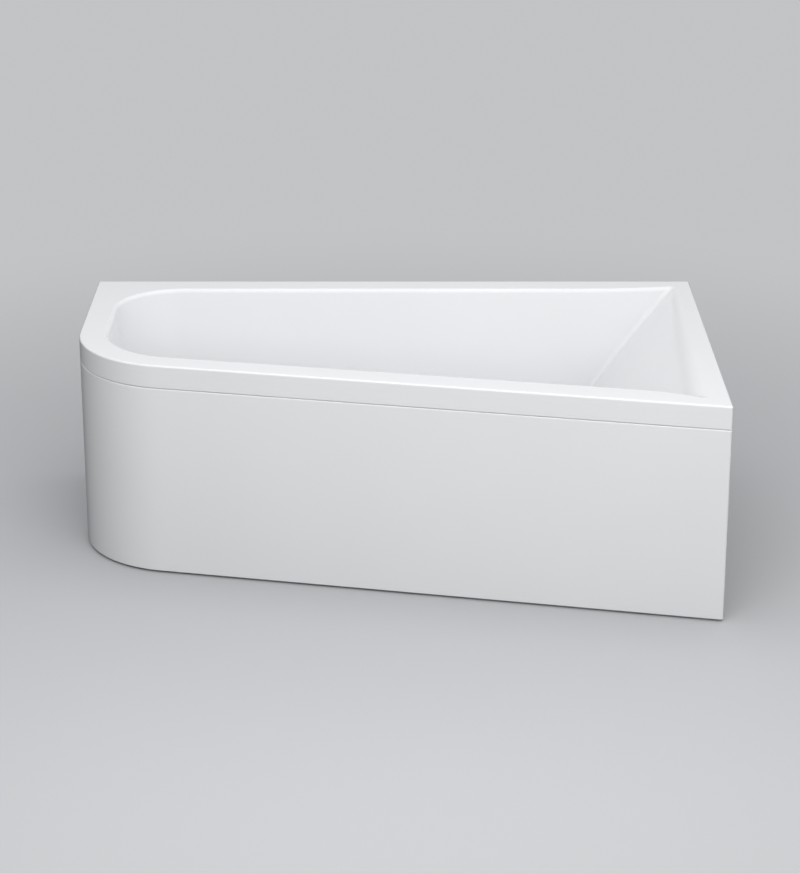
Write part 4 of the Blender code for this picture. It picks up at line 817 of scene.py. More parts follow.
chipboard = Finish("chipboard", "chipboard", (0.46, 0.33, 0.20), 0.75)
flakes = chipboard.cells(0.0045, (2.2, 1.3, 0.5), (0, 0, 35))
chipboard.tones(flakes, (0.33, 0.22, 0.12), (0.47, 0.34, 0.21), (0.60, 0.47, 0.31))
chipboard.gloss(flakes, 0.65, 0.85)
chipboard.relief(flakes, 0.00015).relief(chipboard.clouds(0.0012, 3), 0.0001)

board_top = floor_top - SHELL_WALL - BACKING_WALL - 2 * GAP
board_bottom = board_top - BOARD_THICKNESS
board_line = basin_outline(BASIN_DEPTH, BOARD_MARGIN)
board_form = skin([at_height(board_line, z) for z in (board_bottom, board_top)], caps=(-1, 0))
bmesh.ops.recalc_face_normals(board_form, faces=board_form.faces)
board = piece_from("floor_board", board_form, chipboard, ["base_board"])
at_board = at(DRAIN.x, DRAIN.y, board_bottom)
drill(board, "board_cut", BOARD_HOLE_RADIUS, 2 * CUT_LENGTH, at_board)
settle(board)
print("board underside at", round(board_bottom, 4))

# %% [markdown]
# ## Plywood strips
#
# Three strips of plywood stiffen the rim and the apron, and give screws something to bite. The faces
# show long grain, and the edges show the plies. Each strip is a block with its own axes, length along
# X and plies across Y, so that one material fits them all. The strip at the left end is turned.

# %% Glue in the plywood
BATTEN_THICKNESS = 0.018
RIM_PLAY = 0.001
FRONT_BATTEN = (0.400, 0.106)
LEFT_BATTEN_START = 0.060
LEFT_BATTEN_LENGTH = 0.320
STIFFENER = (0.420, 0.156)
STIFFENER_SECTION = (0.012, 0.060)
STIFFENER_Z = 0.250
WOOD_EDGE = 0.0008

plywood = Finish("plywood", "plywood", (0.62, 0.47, 0.30), 0.6)
grain = plywood.clouds(0.003, 4, (30, 1, 2))
plies = plywood.clouds(0.0022, 1, (400, 1, 400))
plywood.tones(grain, (0.50, 0.35, 0.20), (0.64, 0.49, 0.31), (0.72, 0.58, 0.40))
plywood.gloss(plies, 0.5, 0.8)
plywood.relief(grain, 0.0001).relief(plies, 0.00025)
front_length = (plan[2] - plan[1]).length


def block_form(size, edge):
    """A block round the origin, with its edges broken."""
    form = bmesh.new()
    bmesh.ops.create_cube(form, size=1, matrix=Matrix.Diagonal((*size, 1)))
    edges = form.edges[:]
    bmesh.ops.bevel(form, geom=edges, offset=edge, segments=2, affect="EDGES", profile=0.5)
    return form


def front_place(along, inset, z):
    """A frame this far along the front: X along it, Y square into the bath, Z up."""
    spot = plan[1] + front_along * along + front_inward * inset
    return at(spot.x, spot.y, z) @ Matrix.Rotation(-slant, 4, "Z")


def strip(name, node, size, place, body="bath"):
    """A plywood block."""
    whole_piece(name, block_form(size, WOOD_EDGE), plywood, node, place, body)


rim_underside = BATH_HEIGHT - SHELL_WALL
batten_section = (BATTEN_THICKNESS, rim_underside - GAP - skirt_bottom)
batten_inset = RIM_EDGE + RIM_PLAY + BATTEN_THICKNESS / 2
batten_z = skirt_bottom + batten_section[1] / 2
batten_length = front_length - sum(FRONT_BATTEN)
place = front_place(FRONT_BATTEN[0] + batten_length / 2, batten_inset, batten_z)
strip("front_rim_strip", "rim_batten_front", (batten_length, *batten_section), place)
left_y = rear_y - LEFT_BATTEN_START - LEFT_BATTEN_LENGTH / 2
place = at(left_x + batten_inset, left_y, batten_z) @ quarter("Z")
strip("left_rim_strip", "rim_batten_left", (LEFT_BATTEN_LENGTH, *batten_section), place)
stiffener_size = (front_length - sum(STIFFENER), *STIFFENER_SECTION)
stiffener_inset = PANEL_WALL + GAP + STIFFENER_SECTION[0] / 2
place = front_place(STIFFENER[0] + stiffener_size[0] / 2, stiffener_inset, STIFFENER_Z)
strip("apron_strip", "apron_stiffener", stiffener_size, place, "apron")
print("front is", round(front_length, 4), "m long")

# %% [markdown]
# ## Bent zinc-plated steel
#
# The legs, clips and angles are pressed from zinc-plated strip. Zinc is a soft grey metal with a dull
# gloss, and large crystals that differ a little in tone. A bent strip is a line with rounded corners,
# drawn out to its width and then given the sheet's thickness, as a press brake does it.

# %% Make the zinc and the bent strip
BEND_RADIUS = 0.003

zinc = Finish("zinc_plated_steel", "zinc_steel", (0.60, 0.62, 0.64), 0.36, 1.0)
spangle = zinc.cells(0.006, (1.6, 1, 1), (0, 0, 20))
zinc.tones(spangle, (0.54, 0.56, 0.58), (0.61, 0.63, 0.65), (0.67, 0.69, 0.71))
zinc.gloss(zinc.clouds(0.012, 4), 0.26, 0.46)
zinc.relief(zinc.clouds(0.0015, 3, (6, 1, 1)), 0.00002)


def bent_piece(name, node, line, width, wall, place):
    """A strip with a line of (x, z) points as its section, bent at each and drawn out along Y."""
    points = softened(line, BEND_RADIUS, False)
    form = skin([[(p.x, y, p.y) for p in points] for y in (-width / 2, width / 2)], False, ())
    piece = piece_from(name, form, zinc, [node], place)
    thicken(piece, -wall)
    return piece


print("zinc has", len(zinc.tree.nodes), "nodes")

# %% [markdown]
# ## Leg rails
#
# Two channels lie across under the board, open side down, and carry the bath's weight to four feet.
# They run to the slanted front, so the right-hand one is longer. Each has holes for two threaded rods
# and is held by two screws.

# %% Lay the leg rails
RAIL_WIDTH = 0.040
RAIL_HEIGHT = 0.025
RAIL_WALL = 0.002
RAIL_XS = (-0.450, 0.320)
RAIL_END_INSET = 0.040
FOOT_END_INSET = 0.025
ROD_RADIUS = 0.005
RUNNING_GAP = 0.0005
SCREW_SHARES = (0.3, 0.7)

rail_top = board_bottom - GAP
web_bottom = rail_top - RAIL_WALL
rod_hole_radius = ROD_RADIUS + RUNNING_GAP
half = RAIL_WIDTH / 2
channel = [(half, -RAIL_HEIGHT), (half, 0), (-half, 0), (-half, -RAIL_HEIGHT)]
feet = []
rail_screws = []
for side, x in zip(("left", "right"), RAIL_XS):
    front_y = plan[1].y + (x - left_x) * front_along.y / front_along.x
    front = front_y + RAIL_END_INSET / front_along.x
    rear = rear_y - RAIL_END_INSET
    place = at(x, (front + rear) / 2, rail_top)
    rail = bent_piece(f"{side}_rail", f"leg_rail_{side}", channel, rear - front, RAIL_WALL, place)
    for y in (front + FOOT_END_INSET, rear - FOOT_END_INSET):
        feet.append((x, y))
        drill(rail, f"{side}_rail_hole", rod_hole_radius, CUT_LENGTH / 2, at(x, y, rail_top))
    rail_screws += [(x, front + (rear - front) * share) for share in SCREW_SHARES]
    settle(rail)
print("feet at", [(x, round(y, 4)) for x, y in feet])

# %% [markdown]
# ## Screws
#
# Pan-head screws hold the rails to the board and the clips to the rim strip. The head is a turned dome
# with a cross cut into it. Each later screw shares the first one's mesh.

# %% Drive the screws
SCREW_RADIUS = 0.0025
SCREW_HEAD_RADIUS = 0.005
SCREW_HEAD_HEIGHT = 0.003
SCREW_BITE = 0.010
HEAD_SIDE_SHARE = 0.45
HEAD_CROWN_SHARES = (0.72, 0.85)
HEAD_SOFT_SHARE = 0.125
CROSS_WIDTH = 0.001
CROSS_REACH = 0.0055
CROSS_SOFT_SHARE = 0.02


def shared_mesh(name, form, finish, cutters=(), degrees=SHARP_DEGREES):
    """A mesh for several pieces, changed by cutters of (name, form, place, operation)."""
    blank = object_from(name, form)
    blank.data.materials.append(finish.material)
    for cutter_name, cutter_form, place, operation in cutters:
        cut(blank, object_from(cutter_name, cutter_form, place), operation)
    mesh = settle(blank, degrees).data
    bpy.data.objects.remove(blank)
    return mesh


def screw_mesh(name, length, scale=1.0):
    """A screw with its head's seat at the origin and its tip up Z."""
    radius, head, height = (v * scale for v in (SCREW_RADIUS, SCREW_HEAD_RADIUS, SCREW_HEAD_HEIGHT))
    crown_reach, crown_height = HEAD_CROWN_SHARES
    section = [(0, length), (radius, length - radius)]
    section += stepped(radius, 0, head, -height * HEAD_SIDE_SHARE)
    section += [(head * crown_reach, -height * crown_height), (0, -height)]
    form = turned_form(section, False, height * HEAD_SOFT_SHARE, SMALL_STEPS)
    size = (CROSS_REACH * scale, CROSS_WIDTH * scale, height)
    cutters = []
    for k in range(2):
        bar = block_form(size, height * CROSS_SOFT_SHARE)
        cutters.append((f"{name}_cross_{k}", bar, at(0, 0, -height) @ quarter("Z", k), "DIFFERENCE"))
    return shared_mesh(name, form, zinc, cutters)


rail_screw = screw_mesh("rail_screw", board_bottom + SCREW_BITE - web_bottom)
for number, (x, y) in enumerate(rail_screws, 1):
    place = at(x, y, web_bottom - GAP)
    piece_from(f"rail_screw_in_{number}", rail_screw, zinc, [f"rail_screw_{number}"], place)
print("screw is", round(rail_screw.vertices[0].co.z, 4), "m to its tip")

# %% [markdown]
# ## Adjustable feet
#
# The installer levels the bath by turning four threaded rods. A thread is worth modelling here, since
# it catches the light: each ring of points swells and shrinks with its height, and the swelling is
# shifted round the ring, so it winds. Nuts start as hexagons, and a turned body rounds their corners.

# %% Stand it on its feet
THREAD_PITCH = 0.0015
THREAD_DEPTH = 0.0008
THREAD_SIDES = 16
THREAD_ROWS = 4
ROUND_DEGREES = 60
NUT_RADIUS = 0.0098
NUT_HEIGHT = 0.008
NUT_CHAMFER = 0.0012
NUT_SIDES = 6
NUT_STEPS = 48
PAD_RADIUS = 0.030
PAD_NECK_RADIUS = 0.011
PAD_RIM_HEIGHT = 0.005
PAD_HEIGHT = 0.018
PAD_SOCKET_DEPTH = 0.011
PAD_SOFTNESS = 0.0015
ROD_TOP_LENGTH = 0.045

black = Finish("black_plastic", "black_plastic", (0.030, 0.030, 0.033), 0.5)
black.tones(black.clouds(0.03, 3), (0.025, 0.025, 0.028), (0.036, 0.036, 0.038))
black.gloss(black.clouds(0.010, 4), 0.42, 0.60)
black.relief(black.clouds(0.0007, 2), 0.00003)


def capped_tube(rings):
    """A skin that is closed at both ends."""
    form = skin(rings, caps=(-1, 0))
    bmesh.ops.recalc_face_normals(form, faces=form.faces)
    return form


def thread_rings(radius, bottom, top):
    """Rings up a threaded rod along Z."""
    count = round((top - bottom) / THREAD_PITCH * THREAD_ROWS)
    rings = []
    for k in range(count + 1):
        z = bottom + (top - bottom) * k / count
        ring = []
        for side in range(THREAD_SIDES):
            winding = ((z - bottom) / THREAD_PITCH - side / THREAD_SIDES) % 1
            reach = radius - THREAD_DEPTH * abs(2 * winding - 1)
            angle = 2 * math.pi * side / THREAD_SIDES
            ring.append((reach * math.cos(angle), reach * math.sin(angle), z))
        rings.append(ring)
    return rings


socket_floor = PAD_HEIGHT - PAD_SOCKET_DEPTH
rod_bottom = socket_floor + GAP
rod_top = rail_top + ROD_TOP_LENGTH
thread_form = capped_tube(thread_rings(ROD_RADIUS, rod_bottom, rod_top))
rod_mesh = shared_mesh("threaded_rod", thread_form, zinc, (), ROUND_DEGREES)

edge_z = NUT_HEIGHT / 2
shaper = [(0, edge_z), (NUT_RADIUS - NUT_CHAMFER, edge_z), (NUT_RADIUS, edge_z - NUT_CHAMFER / 2)]
shaper += [(radius, -z) for radius, z in reversed(shaper)]
nut_cutters = (
    ("nut_shaper", turned_form(shaper, False, 0, NUT_STEPS), Matrix(), "INTERSECT"),
    ("nut_bore", rod_form(rod_hole_radius, CUT_LENGTH), Matrix(), "DIFFERENCE"),
)
nut_mesh = shared_mesh("nut", rod_form(NUT_RADIUS, NUT_HEIGHT, NUT_SIDES), zinc, nut_cutters)

pad_steps = (ROD_RADIUS + GAP, PAD_HEIGHT, PAD_NECK_RADIUS, PAD_RIM_HEIGHT, PAD_RADIUS, 0, 0)
pad_form = turned_form(stepped(0, socket_floor, *pad_steps), False, PAD_SOFTNESS)
pad_mesh = shared_mesh("foot_pad", pad_form, black)

nut_levels = {"top": rail_top + GAP + edge_z, "lock": web_bottom - GAP - edge_z}
for number, (x, y) in enumerate(feet, 1):
    foot = f"foot_{number}"
    place = at(x, y, 0)
    piece_from(f"threaded_rod_{number}", rod_mesh, zinc, [f"foot_rod_{number}"], place, foot)
    piece_from(f"pad_{number}", pad_mesh, black, [f"foot_pad_{number}"], place, foot)
    for kind, z in nut_levels.items():
        node = f"foot_{kind}_nut_{number}"
        piece_from(f"{kind}_nut_{number}", nut_mesh, zinc, [node], at(x, y, z))
print("rod is", round(rod_top - rod_bottom, 4), "m long")

# %% [markdown]
# ## Clips and angles
#
# The apron's top edge rests on spring clips behind the rim strip, and angles on the floor stop its
# foot. Angles under the rim reach the walls. All are short bent strips. The clips and the wall angles
# have their screws and holes, since an L with nothing in it looks like a toy.

# %% Fix clips and angles
CLIP_WALL = 0.0015
CLIP_WIDTH = 0.030
CLIP_RISE = 0.030
CLIP_REACH = 0.012
CLIP_SHARES = (0.106, 0.496, 0.885)
LEFT_CLIP_PLACE = 0.220
CLIP_SCREW_SPREAD = 0.008
CLIP_SCREW_RISE = 0.022
CLIP_SCREW_SCALE = 0.7
ANGLE_WALL = 0.002
ANGLE_WIDTH = 0.040
ANGLE_RISE = 0.035
ANGLE_FOOT = 0.035
ANGLE_HOLE_SHARE = 0.6
FLOOR_ANGLES = (0.440, 0.196)
FLOOR_ANGLE_SHARES = (0, 0.44, 1)
HANGER_RISE = 0.085
HANGER_REACH = 0.020
HANGER_HOLE_SHARE = 0.7
HANGER_XS = (-0.480, 0.480)
HANGER_Y = 0.100
HOLE_RADIUS = 0.0035


def angle_piece(name, node, line, holes, place):
    """An angle in its place, with two holes side by side at a place of its own frame."""
    piece = bent_piece(name, node, line, ANGLE_WIDTH, ANGLE_WALL, place)
    for number, side in enumerate((-1, 1)):
        hole = place @ at(0, side * ANGLE_WIDTH / 4, 0) @ holes
        drill(piece, f"{name}_hole_{number}", HOLE_RADIUS, CUT_LENGTH / 4, hole, SMALL_STEPS)
    settle(piece)


clip_behind = RIM_EDGE + RIM_PLAY + BATTEN_THICKNESS + GAP
clip_shelf = panel_top - PANEL_WALL - GAP
clip_places = [
    front_place(FRONT_BATTEN[0] + batten_length * share, clip_behind, clip_shelf) @ quarter("Z")
    for share in CLIP_SHARES
]
clip_places.append(at(left_x + clip_behind, rear_y - LEFT_CLIP_PLACE, clip_shelf))
clip_line = [(0, CLIP_RISE), (0, 0), (-CLIP_REACH, 0)]
clip_screw = screw_mesh("clip_screw", CLIP_WALL + SCREW_BITE, CLIP_SCREW_SCALE)
for number, place in enumerate(clip_places, 1):
    node = f"apron_clip_{number}"
    settle(bent_piece(f"spring_clip_{number}", node, clip_line, CLIP_WIDTH, CLIP_WALL, place))
    for side, y in (("front", -CLIP_SCREW_SPREAD), ("back", CLIP_SCREW_SPREAD)):
        seat = place @ at(CLIP_WALL + GAP, y, CLIP_SCREW_RISE) @ quarter("Y", -1)
        piece_from(f"clip_screw_{number}_{side}", clip_screw, zinc, [], seat)

angle_span = front_length - sum(FLOOR_ANGLES)
angle_line = [(0, ANGLE_RISE), (0, 0), (ANGLE_FOOT, 0)]
angle_holes = at(ANGLE_FOOT * ANGLE_HOLE_SHARE, 0, 0)
for number, share in enumerate(FLOOR_ANGLE_SHARES, 1):
    place = front_place(FLOOR_ANGLES[0] + angle_span * share, PANEL_RETURN + GAP, 0) @ quarter("Z")
    node = f"floor_bracket_{number}"
    angle_piece(f"floor_angle_{number}", node, angle_line, angle_holes, place)

hanger_top = rim_underside - GAP
hanger_inset = RIM_EDGE + RIM_PLAY
hanger_line = [(0, -HANGER_RISE), (0, 0), (-HANGER_REACH, 0)]
hanger_holes = at(0, 0, -HANGER_RISE * HANGER_HOLE_SHARE) @ quarter("Y")
hanger_places = [at(x, rear_y - hanger_inset, hanger_top) @ quarter("Z") for x in HANGER_XS]
hanger_places.append(at(right_x - hanger_inset, HANGER_Y, hanger_top))
for number, place in enumerate(hanger_places, 1):
    node = f"wall_bracket_{number}"
    angle_piece(f"wall_angle_{number}", node, hanger_line, hanger_holes, place)
print("clips:", len(clip_places), "angles:", len(FLOOR_ANGLE_SHARES) + len(hanger_places))

# %% [markdown]
# ## Chrome, rubber and moulded plastics
#
# The parts that a bather sees and touches are chrome plated: almost a mirror, with wipe marks that
# only a change in roughness shows. Everything under the tub is plain moulded plastic, grey or white,
# with a dull sheen. Rubber is duller still, and nearly black.

# %% Make the fittings' finishes
chrome = Finish("chrome_plate", "chrome", (0.86, 0.87, 0.88), 0.07, 1.0)
chrome.tones(chrome.clouds(0.05, 2), (0.84, 0.85, 0.86), (0.88, 0.89, 0.90))
chrome.gloss(chrome.clouds(0.012, 5, (3, 1, 1), (0, 0, 40)), 0.045, 0.12)
chrome.relief(chrome.clouds(0.02, 2), 0.00002)

rubber = Finish("black_rubber", "rubber", (0.028, 0.028, 0.030), 0.8)
rubber.tones(rubber.clouds(0.01, 3), (0.022, 0.022, 0.024), (0.036, 0.036, 0.038))
rubber.gloss(rubber.clouds(0.006, 4), 0.70, 0.88)
rubber.relief(rubber.clouds(0.0009, 3), 0.00005)

grey = Finish("grey_plastic", "grey_plastic", (0.33, 0.34, 0.35), 0.45)
grey.tones(grey.clouds(0.04, 3), (0.31, 0.32, 0.33), (0.35, 0.36, 0.37))
grey.gloss(grey.clouds(0.012, 4), 0.38, 0.55)

white = Finish("white_plastic", "white_plastic", (0.74, 0.74, 0.72), 0.42)
white.tones(white.clouds(0.04, 3), (0.71, 0.71, 0.68), (0.76, 0.76, 0.74))
white.gloss(white.clouds(0.012, 4), 0.35, 0.52)
for plastic in (grey, white):
    plastic.relief(plastic.clouds(0.0008, 2), 0.00003)
print("slots:", [finish.slot for finish in (chrome, rubber, grey, white)])

# %% [markdown]
# ## The waste
#
# A chromed flange sits in the dish and is clamped through the hole to a cup below, with a rubber
# gasket between. The plug is a shallow dome on a stem that the cable lifts by a centimetre. All are
# turned, so each is one section with its corners softened. The cup gets its side spigot by a union.

# %% Turn the waste
SOFT = 0.0006
FLANGE_SOFT = 0.0011
FLANGE_RADIUS = 0.0360
FLANGE_THICKNESS = 0.0025
FLANGE_BORE = 0.0200
FLANGE_TUBE_RADIUS = 0.0225
FLANGE_TUBE_LENGTH = 0.018
GASKET_INNER_RADIUS = 0.0275
GASKET_OUTER_RADIUS = 0.0355
GASKET_THICKNESS = 0.003
CUP_FLANGE = 0.004
CUP_RADIUS = 0.0290
CUP_BORE = 0.0260
CUP_HEIGHT = 0.048
CUP_CONE = 0.006
NIPPLE_RADIUS = 0.0190
NIPPLE_BORE = 0.0165
NIPPLE_LENGTH = 0.010
SPIGOT_RADIUS = 0.0130
SPIGOT_BORE = 0.0105
SPIGOT_LENGTH = 0.022
SPIGOT_DROP = 0.027

flange_bottom = seat_top + GAP
flange_top = flange_bottom + FLANGE_THICKNESS
tube_bottom = flange_bottom - FLANGE_TUBE_LENGTH
flange_section = stepped(FLANGE_BORE, flange_top, FLANGE_RADIUS, flange_bottom, FLANGE_TUBE_RADIUS)
flange_section += stepped(FLANGE_TUBE_RADIUS, tube_bottom, FLANGE_BORE)
flange_form = turned_form(flange_section, True, FLANGE_SOFT)
whole_piece("waste_rim", flange_form, chrome, "waste_flange", at_drain)


def ring_form(inner, outer, top, bottom):
    """A plain ring between two radii and two heights."""
    return turned_form(stepped(inner, top, outer, bottom, inner), True, SOFT)


gasket_top = seat_bottom - GAP
gasket_bottom = gasket_top - GASKET_THICKNESS
gasket_form = ring_form(GASKET_INNER_RADIUS, GASKET_OUTER_RADIUS, gasket_top, gasket_bottom)
whole_piece("waste_washer", gasket_form, rubber, "waste_gasket", at_drain)

cup_top = gasket_bottom - GAP
cup_bottom = cup_top - CUP_HEIGHT
cone_bottom = cup_bottom - CUP_CONE
nipple_bottom = cone_bottom - NIPPLE_LENGTH
cup_wall = CUP_RADIUS - CUP_BORE
spigot_z = cup_top - SPIGOT_DROP
cup_section = stepped(CUP_BORE, cup_top, GASKET_OUTER_RADIUS, cup_top - CUP_FLANGE, CUP_RADIUS)
cup_section += [(CUP_RADIUS, cup_bottom), (NIPPLE_RADIUS, cone_bottom)]
cup_section += stepped(NIPPLE_RADIUS, nipple_bottom, NIPPLE_BORE, cone_bottom + cup_wall)
cup_section.append((CUP_BORE, cup_bottom + cup_wall))
cup = piece_from("waste_cup", turned_form(cup_section, True, SOFT), grey, ["waste_body"], at_drain)


def add_side(piece, name, start, end, radius, z, sign, operation="DIFFERENCE"):
    """Cuts or joins a level rod, from start to end along Y, measured from the drain's axis."""
    place = at(DRAIN.x, DRAIN.y + sign * (start + end) / 2, z) @ quarter("X")
    drill(piece, name, radius, end - start, place, operation=operation)


cup_reach = CUP_RADIUS + SPIGOT_LENGTH
add_side(cup, "cup_spigot", 0, cup_reach, SPIGOT_RADIUS, spigot_z, -1, "UNION")
at_inside = at(DRAIN.x, DRAIN.y, cup_bottom + cup_wall + CUP_HEIGHT / 2)
drill(cup, "cup_inside", CUP_BORE, CUP_HEIGHT, at_inside)
add_side(cup, "cup_spigot_bore", 0, cup_reach + CUT_LENGTH, SPIGOT_BORE, spigot_z, -1)
settle(cup)
print("waste reaches down to", round(nipple_bottom, 4))

# %% [markdown]
# ## The plug
#
# The plug is the one part of the waste that a bather sees move. Its top is a very shallow dome, so
# that it sheds water and catches one soft highlight. Points on a parabola draw it, and the same helper
# draws the knob's face later. A rubber ring under its edge seals it.

# %% Drop in the plug
PLUG_RADIUS = 0.0300
PLUG_EDGE = 0.002
PLUG_CROWN = 0.004
PLUG_SOCKET = 0.0025
PLUG_DOME_STEPS = 8
SEAL_RADIUS = 0.0190
SEAL_WALL = 0.0030
SEAL_HEIGHT = 0.003
STEM_RADIUS = 0.004
STEM_LENGTH = 0.034


def dome(radius, top, crown, steps):
    """Points from the middle of a shallow dome out to its edge."""
    shares = [k / steps for k in range(steps + 1)]
    return [(radius * share, top - crown * share**2) for share in shares]


plug_place = at(DRAIN.x, DRAIN.y, flange_top + GAP)
plug_section = dome(PLUG_RADIUS, PLUG_EDGE + PLUG_CROWN, PLUG_CROWN, PLUG_DOME_STEPS)
plug_section += stepped(PLUG_RADIUS, 0, STEM_RADIUS + GAP, PLUG_SOCKET, 0)
plug_form = turned_form(plug_section, False, SOFT)
whole_piece("plug", plug_form, chrome, "waste_plug", plug_place, "plug")
seal_form = ring_form(SEAL_RADIUS - SEAL_WALL, SEAL_RADIUS, -GAP, -GAP - SEAL_HEIGHT)
whole_piece("plug_ring", seal_form, rubber, "plug_seal", plug_place, "plug")
stem_top = PLUG_SOCKET - GAP
stem_tip = stem_top - STEM_LENGTH
stem_section = stepped(0, stem_top, STEM_RADIUS, stem_tip + STEM_RADIUS) + [(0, stem_tip)]
stem_form = turned_form(stem_section, False, SOFT, SMALL_STEPS)
whole_piece("plug_rod", stem_form, chrome, "plug_stem", plug_place, "plug")
print("plug edge at", round(flange_top + GAP, 4))

# %% [markdown]
# ## The trap and its pipe
#
# Below the cup hangs a low trap, a dish that always stays full and keeps the drain's air out. A pipe
# runs from it to the rear. Union nuts join them. A union nut has grip ribs, so a hand can turn it: the
# outer points of a turned ring are moved in, two steps out of four.

# %% Hang the trap
TRAP_RADIUS = 0.048
TRAP_WALL = 0.003
TRAP_HEIGHT = 0.040
TRAP_NECK = 0.0031
TRAP_DIP = 0.012
TRAP_EDGE = 0.003
TRAP_NUT = (0.0270, 0.011)
OUTLET_RADIUS = 0.0185
OUTLET_BORE = 0.0165
OUTLET_SPIGOT = 0.030
OUTLET_NUT = (0.0245, 0.018)
OUTLET_WALL_DISTANCE = 0.060
GRIP_DEPTH = 0.0008
GRIP_STEPS = 4
GRIP_DEGREES = 25


def heading_place(spot, heading):
    """A frame at a spot, with Z along the heading."""
    matrix = heading.to_track_quat("Z", "Y").to_matrix().to_4x4()
    matrix.translation = spot
    return matrix


def grip_ring(name, node, inner, outer, length, place):
    """A union nut with grip ribs round it."""
    form = ring_form(inner, outer, length / 2, -length / 2)
    for vert in form.verts:
        reach = vert.co.xy.length
        step = round(math.atan2(vert.co.y, vert.co.x) / (2 * math.pi) * TURN_STEPS)
        if reach > outer - GRIP_DEPTH and step % GRIP_STEPS < GRIP_STEPS / 2:
            vert.co.xy *= (reach - GRIP_DEPTH) / reach
    whole_piece(name, form, grey, node, place, degrees=GRIP_DEGREES)


neck_top = nipple_bottom - GAP
trap_top = neck_top - TRAP_NECK
trap_floor = trap_top - TRAP_HEIGHT
trap_inside = TRAP_RADIUS - TRAP_WALL
trap_section = stepped(0, trap_floor + TRAP_WALL, trap_inside, trap_top - TRAP_WALL, NIPPLE_RADIUS)
trap_section += stepped(NIPPLE_RADIUS, trap_floor + TRAP_DIP, NIPPLE_BORE, neck_top, NIPPLE_RADIUS)
trap_section += stepped(NIPPLE_RADIUS, trap_top, TRAP_RADIUS, trap_floor, 0)
trap_form = turned_form(trap_section, False, TRAP_EDGE)
trap = piece_from("trap", trap_form, grey, ["trap_body"], at_drain)
outlet_z = trap_top - OUTLET_RADIUS - TRAP_WALL / 2
spigot_end = TRAP_RADIUS + OUTLET_SPIGOT
add_side(trap, "trap_spigot", trap_inside - TRAP_WALL, spigot_end, OUTLET_RADIUS, outlet_z, 1, "UNION")
bore_start = NIPPLE_RADIUS + TRAP_WALL
add_side(trap, "trap_bore", bore_start, spigot_end + CUT_LENGTH, OUTLET_BORE, outlet_z, 1)
settle(trap)

rearward = Vector((0, 1, 0))
joint_y = DRAIN.y + spigot_end + GAP
pipe_half = (rear_y - OUTLET_WALL_DISTANCE - joint_y) / 2
pipe_form = ring_form(OUTLET_BORE, OUTLET_RADIUS, pipe_half, -pipe_half)
pipe_place = heading_place((DRAIN.x, joint_y + pipe_half, outlet_z), rearward)
trap_nut_spot = (DRAIN.x, DRAIN.y, trap_top + GAP + TRAP_NUT[1] / 2)
trap_nut_place = heading_place(trap_nut_spot, Vector((0, 0, -1)))
grip_ring("trap_union", "trap_nut", NIPPLE_RADIUS + GAP, *TRAP_NUT, trap_nut_place)
whole_piece("drain_pipe", pipe_form, grey, "outlet_pipe", pipe_place)
outlet_place = heading_place((DRAIN.x, joint_y, outlet_z), rearward)
grip_ring("drain_union", "outlet_nut", OUTLET_RADIUS + GAP, *OUTLET_NUT, outlet_place)
print("pipe axis at", round(outlet_z, 4))

# %% [markdown]
# ## The overflow's plate and knob
#
# A chromed knob on the front wall hides the overflow's inlets and turns the cable that lifts the plug.
# It has three finger notches, so a wet hand can grip it. It is turned, then notched by three cutters,
# and its face is very slightly domed, so that it doesn't reflect as one flat patch.

# %% Turn the plate and the knob
BEZEL_RADIUS = 0.034
BEZEL_THICKNESS = 0.0025
INLET_RADIUS = 0.0045
INLET_CIRCLE = 0.0165
INLETS = 6
INLET_STEPS = 32
SPINDLE_RADIUS = 0.004
SPINDLE_BACK = 0.032
KNOB_RADIUS = 0.035
KNOB_STANDOFF = 0.003
KNOB_THICKNESS = 0.012
KNOB_CROWN = 0.0012
KNOB_DOME_STEPS = 2
KNOB_EDGE = 0.003
KNOB_SOCKET = 0.008
NOTCH_RADIUS = 0.006
NOTCHES = 3
NOTCH_STEPS = 48

spindle_bore = SPINDLE_RADIUS + RUNNING_GAP
bezel_top = GAP + BEZEL_THICKNESS
bezel_form = ring_form(spindle_bore, BEZEL_RADIUS, bezel_top, GAP)
bezel = piece_from("overflow_plate", bezel_form, chrome, ["overflow_bezel"], overflow)
for k in range(INLETS):
    place = overflow @ quarter("Z", 4 * k / INLETS) @ at(INLET_CIRCLE, 0, 0)
    drill(bezel, f"inlet_{k}", INLET_RADIUS, CUT_LENGTH / 2, place, INLET_STEPS)
settle(bezel)

knob_bottom = bezel_top + KNOB_STANDOFF
knob_top = knob_bottom + KNOB_THICKNESS
socket_end = knob_bottom + KNOB_SOCKET
knob_section = dome(KNOB_RADIUS, knob_top, KNOB_CROWN, KNOB_DOME_STEPS)
knob_section += stepped(KNOB_RADIUS, knob_bottom, SPINDLE_RADIUS + GAP, socket_end, 0)
knob_form = turned_form(knob_section, False, KNOB_EDGE)
knob = piece_from("overflow_dial", knob_form, chrome, ["overflow_knob"], overflow, "knob")
for k in range(NOTCHES):
    place = overflow @ quarter("Z", 4 * k / NOTCHES + 1) @ at(KNOB_RADIUS, 0, knob_bottom)
    drill(knob, f"notch_{k}", NOTCH_RADIUS, CUT_LENGTH, place, NOTCH_STEPS)
settle(knob)
spindle_top = socket_end - GAP
spindle_form = rod_form(SPINDLE_RADIUS, spindle_top + SPINDLE_BACK, SMALL_STEPS)
spindle_place = overflow @ at(0, 0, (spindle_top - SPINDLE_BACK) / 2)
whole_piece("dial_spindle", spindle_form, zinc, "overflow_spindle", spindle_place, "knob")
print("knob is", round(2 * KNOB_RADIUS, 4), "m across")

